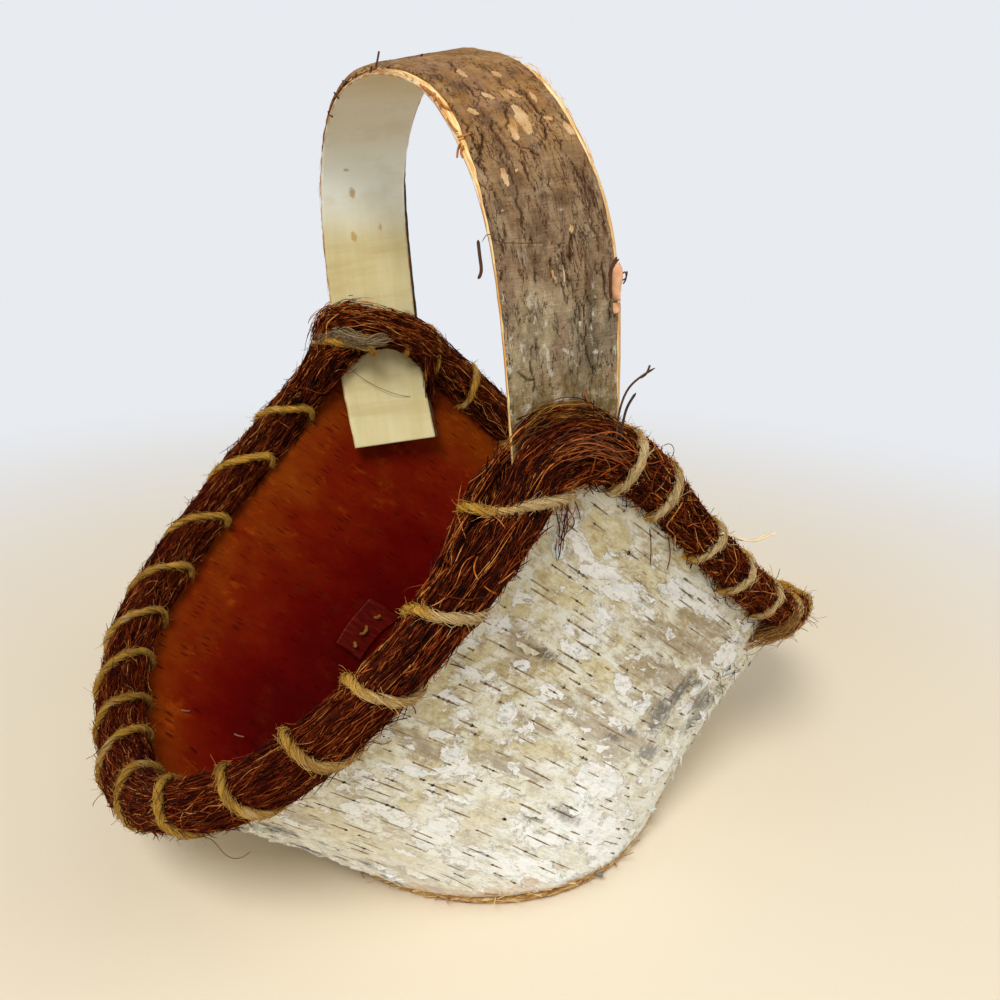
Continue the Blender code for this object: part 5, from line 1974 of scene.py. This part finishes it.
def edge_material():
    """The layered edge of the plate under the bottom."""
    shade = Shade("edge_bark", 0.85, 0.1)
    shade.base = shade.ramp(
        shade.noise((0.005, 0.005, 0.0007), detail=6, rough_share=0.7),
        (0.30, 96, 58, 28),
        (0.44, 160, 108, 56),
        (0.56, 200, 160, 104),
        (0.70, 224, 204, 164),
    )
    wild = shade.times(shade.noise(0.006, detail=5), 0.03)
    pale = shade.plus(shade.axis(shade.place, "X"), wild)
    shade.over(shade.step(pale, 0.020, 0.046), 0.8, (206, 196, 172))
    gold = shade.noise((0.007, 0.007, 0.0010), detail=5, rough_share=0.7, shift=5.5)
    shade.over(shade.step(gold, 0.52, 0.62), 0.6, (222, 196, 120))
    shade.bump(shade.noise(0.001, detail=4), 0.0003, 0.8)
    return shade.finish()


def tab_material():
    """The red-brown tab."""
    shade = Shade("tab_bark", 0.6, 0.12)
    turned = shade.turned
    shade.base = shade.ramp(
        shade.noise((0.008, 0.008, 0.0015), turned, 5, 0.6, 2.2),
        (0.30, 66, 5, 2),
        (0.50, 90, 10, 3),
        (0.72, 116, 26, 8),
    )
    shade.bump(shade.noise((0.004, 0.004, 0.0012), turned, 4), 0.0001, 0.5)
    return shade.finish()


def toned(name, low, high, roughness=0.75):
    """A material that goes from one colour to another with the tone stored on a piece."""
    shade = Shade(name, roughness, 0.2)
    level = shade.plus(shade.tone(), shade.centred(shade.noise(0.002, detail=3), 0.8))
    shade.base = shade.ramp(level, (0.0, *low), (1.0, *high))
    return shade.finish()


def make_floor():
    """A wide floor that fades into the backdrop. Its glow is for the camera alone."""
    shade = Shade("floor", 0.9, 0.05)
    shade.base = shade.ramp(shade.noise(0.4, detail=2), (0.3, 230, 215, 189), (0.7, 235, 223, 199))
    shade.finish()
    tree = shade.tree
    path = tree.nodes.new("ShaderNodeLightPath")
    far = tree.nodes.new("ShaderNodeVectorMath")
    far.operation = "LENGTH"
    tree.links.new(shade.place, far.inputs[0])
    fade = shade.times(shade.step(far.outputs["Value"], 0.16, 0.62), path.outputs["Is Camera Ray"])
    glow = tree.nodes.new("ShaderNodeEmission")
    shade.put(glow.inputs["Color"], BACKDROP)
    join_shaders(tree, fade, shade.shader, glow, tree.nodes["Material Output"].inputs["Surface"])
    mesh = bpy.data.meshes.new("floor")
    size = FLOOR_HALF_SIZE
    corners = [(-size, -size, 0), (size, -size, 0), (size, size, 0), (-size, size, 0)]
    mesh.from_pydata(corners, [], [(0, 1, 2, 3)])
    mesh.materials.append(shade.made)
    floor = bpy.data.objects.new("floor", mesh)
    floor.location.z = -0.0004
    bpy.context.scene.collection.objects.link(floor)


def join_shaders(tree, factor, first, second, out):
    """Mixes two shaders by a factor into an output."""
    join = tree.nodes.new("ShaderNodeMixShader")
    tree.links.new(factor, join.inputs[0])
    tree.links.new(first.outputs[0], join.inputs[1])
    tree.links.new(second.outputs[0], join.inputs[2])
    tree.links.new(join.outputs[0], out)


def make_world():
    """White light from all round. The camera and shiny surfaces see the backdrop instead."""
    world = bpy.data.worlds.new("studio")
    bpy.context.scene.world = world
    world.use_nodes = True
    tree = world.node_tree
    tree.nodes.clear()
    path = tree.nodes.new("ShaderNodeLightPath")
    shown = tree.nodes.new("ShaderNodeBackground")
    shown.inputs["Color"].default_value = BACKDROP
    soft = tree.nodes.new("ShaderNodeBackground")
    soft.inputs["Color"].default_value = (1.0, 1.0, 1.0, 1.0)
    soft.inputs["Strength"].default_value = WORLD_STRENGTH
    choice = tree.nodes.new("ShaderNodeMath")
    choice.operation = "MAXIMUM"
    tree.links.new(path.outputs["Is Camera Ray"], choice.inputs[0])
    tree.links.new(path.outputs["Is Glossy Ray"], choice.inputs[1])
    out = tree.nodes.new("ShaderNodeOutputWorld")
    join_shaders(tree, choice.outputs[0], soft, shown, out.inputs[0])


def make_lamps():
    """Round lamps that look at the basket."""
    for name, place, size, power in LAMPS:
        data = bpy.data.lights.new(name, "AREA")
        data.shape = "DISK"
        data.size = size
        data.energy = power
        lamp = bpy.data.objects.new(name, data)
        lamp.location = place
        lamp.rotation_euler = (Vector((0, 0, 0.1)) - Vector(place)).to_track_quat("-Z", "Y").to_euler()
        bpy.context.scene.collection.objects.link(lamp)


# How each stitch of the lacing leans, from the far peak to the near one
LEFT_WAYS = ((-0.15, 0.45, 1.08, 1.0),) * 7 + ((0.05, 0.5, 0.9, 1.0),) * 2
LEFT_WAYS = LEFT_WAYS + ((0.22, 0.5, 0.78, 1.0),) * 6 + ((0.30, 0.38, 0.80, 0.0),)
RIGHT_WAYS = (
    ((0.40, -0.20, 0.90, 1.0), (0.05, -0.45, 0.50, 1.0), (0.00, -0.35, 0.60, 1.0), (0.10, -0.05, 0.85, 1.0))
    + ((0.25, 0.40, 0.85, 1.0),) * 6
    + ((0.60, 0.85, 1.0, 1.0),) * 2
    + ((0.75, 1.03, 1.05, 1.0),) * 3
    + ((0.85, 1.32, 1.20, 1.0), (0.75, 1.03, 1.05, 1.0))
)

FLOOR_HALF_SIZE = 4.0
WORLD_STRENGTH = 0.50
BACKDROP = colour(232, 235, 240)
LAMPS = (
    ("key", (-0.60, -0.75, 1.10), 0.5, 13.7),
    ("fill", (0.9, -0.5, 0.8), 0.9, 3.0),
)

# Patches of the white bark: where the picture shows them, half length, half width and lean
BARK_MARKS = {
    "white": (
        (577, 543, 22, 8, 62), (600, 570, 24, 9, 8), (620, 590, 27, 11, 8), (556, 545, 15, 7, 95),
        (578, 633, 20, 9, 20), (572, 648, 18, 8, 30), (468, 671, 13, 7, 30), (518, 664, 13, 6, -10),
        (620, 682, 12, 8, 70), (680, 592, 24, 12, 20), (702, 606, 20, 8, 30), (722, 652, 17, 10, -50),
        (505, 712, 12, 10, -60), (462, 712, 9, 6, 20), (455, 757, 20, 14, 60), (598, 778, 27, 18, 25),
        (435, 830, 26, 13, -35), (505, 862, 62, 13, 10), (560, 825, 42, 20, -10), (392, 812, 22, 8, 28),
        (365, 775, 16, 8, 20), (605, 838, 28, 20, -50), (412, 768, 12, 5, 20), (640, 610, 14, 9, 30),
        (350, 805, 14, 7, 20), (700, 680, 16, 5, -48), (660, 765, 18, 6, -52),
    ),
    "cream": (
        (602, 533, 26, 20, 45), (512, 606, 17, 10, 10), (560, 588, 34, 13, 28), (640, 572, 26, 12, 20),
        (548, 665, 14, 9, 0), (600, 668, 26, 9, 25), (636, 665, 16, 7, 5), (438, 674, 22, 9, -55),
        (480, 750, 9, 8, 0), (540, 747, 26, 11, 10), (585, 768, 14, 9, -20), (490, 810, 36, 9, -20),
        (408, 800, 19, 8, -40), (515, 735, 16, 7, -60), (430, 760, 26, 7, 15), (428, 706, 24, 12, 20),
        (350, 830, 42, 9, 20), (395, 848, 32, 8, 20), (520, 862, 9, 8, 0), (684, 560, 14, 10, 30),
        (690, 615, 17, 6, 10), (476, 652, 22, 7, -30), (330, 818, 30, 8, 24), (450, 790, 20, 8, 10),
    ),
    "brown": (
        (678, 640, 46, 14, 22), (660, 672, 42, 12, 18), (610, 732, 48, 15, 28), (420, 742, 38, 8, 28),
        (555, 697, 27, 7, 28), (595, 697, 20, 5, 28), (505, 765, 36, 9, 20), (520, 643, 28, 14, 40),
        (612, 752, 14, 10, 0), (640, 700, 22, 10, 20), (535, 722, 24, 6, 28), (705, 625, 28, 9, 25),
        (400, 868, 40, 5, 15), (300, 815, 26, 6, 20),
    ),
    "dark": (
        (657, 712, 22, 11, -62), (645, 751, 12, 8, -40), (700, 700, 18, 9, -42), (720, 685, 8, 4, -60),
        (694, 681, 8, 4, -10), (628, 730, 7, 4, 20), (538, 651, 22, 6, 24), (564, 812, 14, 7, 35),
        (533, 817, 9, 5, 20), (287, 829, 14, 4, 22), (300, 848, 30, 6, 24), (688, 722, 14, 4, -52),
        (612, 736, 8, 4, 30), (676, 690, 22, 6, -50),
    ),
    "foot": (
        (500, 894, 52, 9, -4), (445, 893, 46, 8, 11), (395, 884, 34, 5, 16), (528, 882, 14, 6, -30),
        (565, 888, 34, 5, -18), (598, 874, 12, 5, -30),
    ),
}

# Dark dashes of the white bark: where the picture shows their middles, length there and strength
DASHES = (
    (305, 805, 20, 0.4), (331, 806, 48, 0.7), (361, 829, 44, 0.9), (383, 783, 54, 0.8), (378, 792, 34, 0.6),
    (386, 804, 54, 1.0), (400, 733, 30, 0.5), (405, 739, 40, 0.4), (447, 701, 40, 1.0), (467, 687, 28, 0.7),
    (466, 702, 22, 0.6), (468, 724, 28, 1.0), (444, 789, 44, 1.0), (434, 792, 24, 0.8), (457, 812, 38, 0.8),
    (470, 784, 22, 0.4), (422, 839, 36, 0.5), (416, 846, 30, 0.6), (361, 847, 36, 0.7), (376, 862, 30, 0.3),
    (600, 510, 30, 0.7), (632, 555, 30, 1.3), (577, 570, 34, 1.2), (563, 573, 38, 0.8), (540, 585, 32, 0.7),
    (544, 596, 44, 0.9), (580, 626, 44, 1.0), (588, 647, 44, 1.1), (570, 657, 40, 1.0), (567, 668, 30, 1.2),
    (520, 688, 44, 0.9), (490, 686, 34, 0.8), (476, 691, 44, 0.7), (508, 631, 24, 0.5), (500, 646, 44, 0.6),
    (495, 650, 24, 0.7), (524, 672, 38, 0.9), (650, 595, 10, 0.8), (650, 619, 22, 0.9), (638, 635, 26, 0.6),
    (634, 647, 20, 0.7), (688, 580, 18, 0.7), (702, 600, 20, 0.8), (664, 603, 20, 0.4), (696, 633, 38, 0.5),
    (720, 626, 24, 0.5), (672, 647, 62, 0.6), (659, 665, 20, 0.7), (656, 693, 20, 0.6), (485, 732, 40, 1.0),
    (469, 703, 18, 0.7), (541, 724, 34, 0.9), (534, 733, 26, 0.7), (582, 746, 18, 0.8), (583, 757, 14, 0.9),
    (612, 729, 52, 0.7), (594, 698, 34, 0.6), (554, 763, 32, 0.8), (491, 770, 30, 1.1), (538, 774, 42, 0.9),
    (534, 782, 32, 0.8), (582, 787, 20, 0.8), (530, 808, 34, 1.1), (563, 813, 34, 1.2), (538, 840, 38, 0.8),
    (476, 787, 36, 0.6), (470, 817, 18, 0.7), (482, 852, 44, 0.6), (468, 853, 18, 0.6), (522, 849, 50, 0.4),
    (560, 865, 34, 0.4), (547, 869, 28, 0.4), (455, 866, 24, 0.4), (432, 876, 30, 0.4),
)

# Materials of the loose pieces: their darkest and palest colour
TWO_TONES = (
    ("grey_jute", (84, 60, 36), (186, 162, 120)),
    ("moss", (84, 52, 12), (190, 128, 44)),
    ("end_fringe", (92, 54, 20), (206, 152, 82)),
    ("bright_coir", (44, 16, 5), (184, 98, 40)),
    ("twig", (40, 24, 16), (92, 58, 34)),
    ("torn_wood", (140, 72, 24), (222, 156, 84)),
    ("peach_flake", (160, 98, 58), (238, 190, 150)),
    # Dark edges of the torn flake, and the painted shadow down its left side
    ("flake_edge_and_shadow", (52, 28, 16), (120, 66, 36)),
    ("grey_bark", (104, 96, 84), (150, 140, 124)),
    ("pale_dash", (112, 72, 52), (164, 128, 104)),
    ("straw", (176, 146, 100), (240, 222, 186)),
)

# Lines of wisps, by points of the picture
FAR_LEFT = ((322, 352), (325, 330), (336, 316), (362, 314))
FAR_ARCH = ((334, 322), (362, 320), (395, 327), (424, 341), (436, 352))
FAR_FALL = ((432, 330), (431, 360), (430, 404))
FAR_TWINE = ((318, 340), (340, 334), (362, 341), (386, 338))
NEAR_ARC = ((516, 440), (532, 424), (552, 415), (580, 413), (604, 420), (620, 434))
RIGHT_END = ((797, 610), (782, 628), (760, 636), (742, 642))
INNER_FALL = ((503, 452), (497, 480), (490, 512))
NEAR_TUFT = ((566, 494), (563, 520), (560, 540), (558, 556))
NEAR_HUMP = ((512, 484), (528, 468), (556, 452), (592, 444), (624, 456))

# Wisps: the surface behind, the line, how far it stands in front, spread, count of fibres, the share of the
# line that a fibre takes, material, radius, points of a fibre and how wavy it is
WISPS = (
    ("wisp_far_1", "inner", FAR_LEFT, 0.001, 0.0050, 420, 0.8, "coir", 0.00013, 16, 1.0),
    ("wisp_far_2", "inner", FAR_ARCH, 0.003, 0.0046, 620, 0.7, "coir", 0.00013, 16, 1.0),
    ("wisp_far_3", "any", FAR_FALL, 0.003, 0.0020, 120, 0.8, "coir", 0.00012, 16, 1.0),
    ("wisp_twine", "any", FAR_TWINE, 0.007, 0.0021, 190, 0.6, "grey_jute", 0.00009, 18, 2.2),
    ("wisp_moss", "any", NEAR_ARC, 0.002, 0.0026, 110, 0.45, "moss", 0.00010, 16, 2.2),
    ("wisp_arc", "any", NEAR_ARC, 0.002, 0.0022, 90, 0.6, "coir", 0.00013, 16, 1.2),
    ("wisp_end", "outer", RIGHT_END, 0.002, 0.0030, 240, 0.6, "end_fringe", 0.00011, 16, 1.8),
    ("wisp_inner", "any", INNER_FALL, 0.002, 0.0030, 70, 0.8, "coir", 0.00014, 16, 1.0),
    ("wisp_tuft", "any", NEAR_TUFT, 0.0012, 0.0015, 14, 0.6, "coir", 0.00015, 18, 4.0),
    ("wisp_hump", "any", NEAR_HUMP, 0.0010, 0.0034, 120, 0.6, "bright_coir", 0.00013, 18, 1.6),
)

# Lines of twigs and single fibres, by points of the picture
THIN_TWIGS = (
    ((616, 442), (619, 414), (627, 391), (638, 379), (655, 368)),
    ((640, 378), (646, 374), (650, 365)),
)
THICK_TWIG = (((621, 440), (625, 414), (630, 402), (636, 393)),)
CROWN_CHIPS = (
    ((376, 67), (378, 57), (379, 51)),
    ((345, 88), (343, 83), (343, 80)),
    ((357, 79), (356, 75), (357, 72)),
    ((420, 60), (421, 56), (423, 54)),
    ((339, 99), (336, 95), (334, 92)),
    ((458, 54), (459, 51), (460, 49)),
    ((388, 66), (389, 62), (391, 60)),
    ((370, 73), (371, 69), (372, 66)),
    ((333, 117), (329, 114), (328, 111)),
)
TORN_WOOD = (
    ((457, 137), (463, 136), (471, 133)),
    ((461, 143), (458, 149), (457, 158)),
    ((426, 90), (434, 95), (434, 101)),
    ((464, 145), (461, 152), (463, 158)),
    ((438, 98), (444, 106), (451, 110)),
    ((420, 84), (428, 92), (436, 94)),
    ((430, 92), (438, 100), (440, 107)),
    ((447, 118), (452, 126), (458, 132)),
)
# The dark line down the torn flake's left side: partly its folded edge, partly painted shadow that the flake
# casts on the leg.
FLAKE_FOLD_SHADOW = (
    ((619, 259), (612, 268), (610, 284), (611, 299)),
    ((617, 257), (614, 262), (611, 268), (609, 277)),
)
FLAKE_HOOK = (
    ((621, 276), (625, 272), (626, 278), (623, 284)),
    ((622, 280), (625, 279), (627, 274), (627, 271)),
)
FOOT_LUMP = (((595, 872), (599, 874), (603, 875)),)
INSIDE_DASHES = (((181, 710), (185, 711), (190, 711)), ((234, 734), (239, 736), (244, 737)))
THIN_HAIRS = (
    ((482, 242), (488, 234), (496, 240), (512, 243), (545, 243)),
    ((663, 446), (670, 444), (674, 450), (671, 458), (664, 467)),
    ((344, 361), (362, 378), (396, 394), (434, 398)),
    ((196, 836), (212, 840), (226, 855), (240, 858), (251, 851)),
    ((377, 697), (372, 720), (373, 738), (368, 749), (362, 744), (367, 738)),
    ((370, 741), (384, 744), (392, 740)),
)
THICK_HAIRS = (
    ((568, 508), (574, 524), (566, 533)),
    ((574, 500), (579, 512), (580, 520)),
    ((637, 518), (641, 526), (638, 534)),
    ((649, 524), (651, 545), (650, 566)),
    ((588, 484), (592, 492), (597, 497)),
    ((412, 702), (422, 694), (428, 685)),
    ((410, 703), (414, 708), (416, 714)),
    ((388, 724), (398, 720), (408, 718)),
    ((668, 536), (670, 556), (667, 570)),
    ((450, 664), (458, 666), (465, 669)),
    ((440, 553), (455, 547), (468, 546)),
)
PALE_HAIRS = (
    ((620, 464), (600, 476), (580, 490), (566, 500)),
    ((582, 390), (590, 404), (599, 419)),
    ((484, 586), (492, 592), (505, 592)),
    ((478, 556), (474, 568), (478, 580)),
)
STRAWS = (
    ((722, 533), (736, 537), (752, 541), (766, 537), (777, 532)),
    ((750, 541), (757, 539), (766, 535), (776, 535)),
)

# Twigs: the surface behind, the lines, how far they stand in front, radius, material and tone
TWIGS = (
    ("twig_thin", "any", THIN_TWIGS, 0.002, 0.00030, "twig", 0.5),
    ("twig_thick", "any", THICK_TWIG, 0.002, 0.00036, "twig", 0.2),
    ("twig_crown", "any", CROWN_CHIPS, 0.0, 0.00030, "twig", 0.5),
    ("twig_torn", "any", TORN_WOOD, 0.001, 0.00030, "torn_wood", 0.3),
    ("twig_fold_shadow", "any", FLAKE_FOLD_SHADOW, 0.0012, 0.00032, "flake_edge_and_shadow", 0.3),
    ("twig_hook", "any", FLAKE_HOOK, 0.0012, 0.00020, "flake_edge_and_shadow", 0.1),
    ("twig_foot", "any", FOOT_LUMP, 0.0006, 0.00085, "grey_bark", 0.4),
    ("twig_inside", "wall", INSIDE_DASHES, 0.0003, 0.00034, "pale_dash", 0.5),
    ("hairs_thin", "any", THIN_HAIRS, 0.0016, 0.00011, "twig", 0.9),
    ("hairs_thick", "any", THICK_HAIRS, 0.0010, 0.00015, "coir", 0.4),
    ("hairs_pale", "any", PALE_HAIRS, 0.0016, 0.00020, "coir", 0.75),
    ("twig_straw", "any", STRAWS, 0.0016, 0.00036, "straw", 0.8),
)

# A twig that hangs off the near leg, with two points of the leg beside it
HANGING_TWIG = ((478, 240), (480, 258), (481, 272), (478, 279))
LEG_BESIDE_HANGING = ((500, 240), (503, 280))

# The torn flake at the right edge of the near leg: the left and right line of its upper and lower part
TORN_FLAKES = (
    (((612, 270), (612, 282), (612, 292), (614, 301)), ((618, 262), (622, 273), (621, 286), (621, 300))),
    (((613, 303), (613, 307), (613, 310), (614, 314)), ((620, 303), (621, 307), (621, 311), (619, 313))),
)


def twig(name, lines, radius, made_of, tone):
    """Single fibres or twigs along given lines, all with as many points."""
    return strands(name, lines, np.full(len(lines), radius), 5, made_of, np.full(len(lines), tone))


def curled_flake(name, trees, left, right, made_of):
    """A torn flake of bark between two lines of the picture, at the right edge of the near leg."""
    rows, columns = 30, 9
    left = drawn(trees, left, 0.0008, rows)
    right = drawn(trees, right, 0.0012, rows)
    right = right + CAMERA_AXES[0] * (0.0006 * fractal(right, 0.0016, 233, 3)[:, None])
    across = np.linspace(0.0, 1.0, columns)[None, :, None]
    sheet = left[:, None] * (1 - across) + right[:, None] * across
    creases = 0.0005 * rough(sheet, (0.0030, 0.0030, 0.0022), 231)[..., None]
    sheet = sheet - CAMERA_AXES[2] * (0.0008 * np.sin(math.pi * across) + creases)
    back = sheet + CAMERA_AXES[2] * 0.0004
    block = np.concatenate([sheet, back[:, ::-1]], axis=1)
    tones = {"tone": np.full(rows * 2 * columns, 0.5)}
    return finish_piece(name, block.reshape(-1, 3), capped(rows, 2 * columns), made_of, tones)


def extras(random, trees, coir):
    """Loose pieces that the picture shows: wisps, twigs, hooks and hanging fibres."""
    looks = {name: toned(name, low, high) for name, low, high in TWO_TONES}
    looks["coir"] = coir
    surfaces = {"any": trees, "wall": trees[:1], "outer": trees[1:2], "inner": trees[2:3]}
    for name, surface, pixels, off, spread, count, share, look, radius, points, wild in WISPS:
        line = drawn(surfaces[surface], pixels, off)
        wisp(name, random, line, spread, count, share, looks[look], radius, points, wild)
    for name, surface, pixels, off, radius, look, tone in TWIGS:
        twig(name, [drawn(surfaces[surface], line, off) for line in pixels], radius, looks[look], tone)
    near_leg = drawn(trees, LEG_BESIDE_HANGING, 0.0)[0]
    hanging = spline(at_depth(HANGING_TWIG, near_leg), 20, closed=False)
    twig("twig_handle", [hanging], 0.00042, looks["twig"], 0.4)
    for number, (left, right) in enumerate(TORN_FLAKES):
        curled_flake(f"flake_handle_{number + 1}", trees, left, right, looks["peach_flake"])


def dress_bark(random, wall_tree):
    """The bark body and the plate under it."""
    outer_bark = bark_material()
    bark_sheet("bark_outer", 520, 170, 1.0, bark_relief, outer_bark)
    bark_sheet("bark_inner", 300, 70, -1.0, inner_relief, inner_material())
    lenticels(random, wall_tree, toned("lenticel", (168, 144, 112), (24, 18, 16)))
    shares, climbs = wall_sites(random, 330, 0.05, 0.92)
    flakes("bark_flakes", random, shares, climbs, (0.003, 0.014), (0.0005, 0.0024), (0.2, 1.1), outer_bark)
    shares, climbs = wall_sites(random, 900, 0.08, 0.90)
    facing = np.sum(unit(EYE - wall_middle(shares, climbs)) * wall_out(shares, climbs), axis=1)
    edge = (facing > -0.05) & (facing < 0.30) & (shares < 0.6)
    shares, climbs = shares[edge][:90], climbs[edge][:90]
    long, wide, bend = (0.005, 0.016), (0.0010, 0.0032), (0.5, 1.5)
    flakes("bark_edge_flakes", random, shares, climbs, long, wide, bend, outer_bark)
    base_edge(edge_material())
    base_fringe(random, toned("fringe", (150, 100, 50), (234, 206, 146)))


def dress_rim(random, coir):
    """The two bundles and the lacing round them."""
    left, right = lacing_path(LEFT_HOLE_SHARES, LEFT_WAYS), lacing_path(RIGHT_HOLE_SHARES, RIGHT_WAYS)
    tree = cord_tree(np.concatenate([left, right]))
    core = core_material()
    bundle_core("outer_core", 1.0, "outer_coir", tree, core)
    bundle_core("inner_core", -1.0, "inner_coir", tree, core)
    for number in (1, 2, 3, 4):
        bundle_fibres(f"outer_fibres_{number}", random, 1000, 1.0, tree, "outer_coir", coir)
    for number in (1, 2, 3):
        bundle_fibres(f"inner_fibres_{number}", random, 1000, -1.0, tree, "inner_coir", coir)
    ridge_fibres("ridge_fibres", random, 620, tree, coir)
    tangle("tangled_fibres_1", random, 1700, tree, coir)
    tangle("tangled_fibres_2", random, 350, tree, coir)
    stray_fibres("stray_fibres", random, 800, coir)
    bark_strays("bark_strays", random, 520, coir)
    jute, hair = jute_material(), hair_material()
    cord("left_jute", left, JUTE_DIAMETER, JUTE_PITCH, jute, ["left_lacing"])
    cord("right_jute", right, JUTE_DIAMETER, -JUTE_PITCH, jute, ["right_lacing"])
    threads("left_threads", random, left, JUTE_DIAMETER, JUTE_PITCH, 1500, hair)
    threads("right_threads", random, right, JUTE_DIAMETER, -JUTE_PITCH, 1500, hair)
    fuzz("left_fuzz", random, left, JUTE_DIAMETER, 4200, hair)
    fuzz("right_fuzz", random, right, JUTE_DIAMETER, 4200, hair)


def dress_handle(random):
    """The wood of the strip, its bark and the splinters along its edges."""
    strip_layer(
        "wood_strip", wood_half, 0.0, WOOD_THICKNESS, 760, 30, 30, wood_relief,
        "handle_wood", wood_material(), {"speck": specked},
    )
    marks = {"peel": peeled, "crack": cracks, "fleck": flecked, "shaded": shaded}
    strip_layer(
        "bark_strip", skin_half, WOOD_THICKNESS + 0.00002, STRIP_THICKNESS, 1000, 76, 6, skin_relief,
        "handle_bark", skin_material(), marks,
    )
    splinters("splinters", random, 420, toned("splinter", (196, 122, 52), (248, 226, 172)))


def main():
    random = np.random.default_rng(20)
    bpy.context.scene.view_settings.view_transform = "Standard"
    make_floor()
    make_world()
    make_lamps()
    trees = [surface_tree(node) for node in SEEN_NODES]
    dress_bark(random, trees[0])
    coir = coir_material()
    dress_rim(random, coir)
    dress_handle(random)
    extras(random, trees, coir)
    tab(tab_material())
    tab_jute = toned("tab_jute", (126, 84, 24), (206, 160, 80))
    cord("tab_thread", stitch_line(), STITCH_DIAMETER, 0.005, tab_jute, ["tab_stitch"], 6)


main()
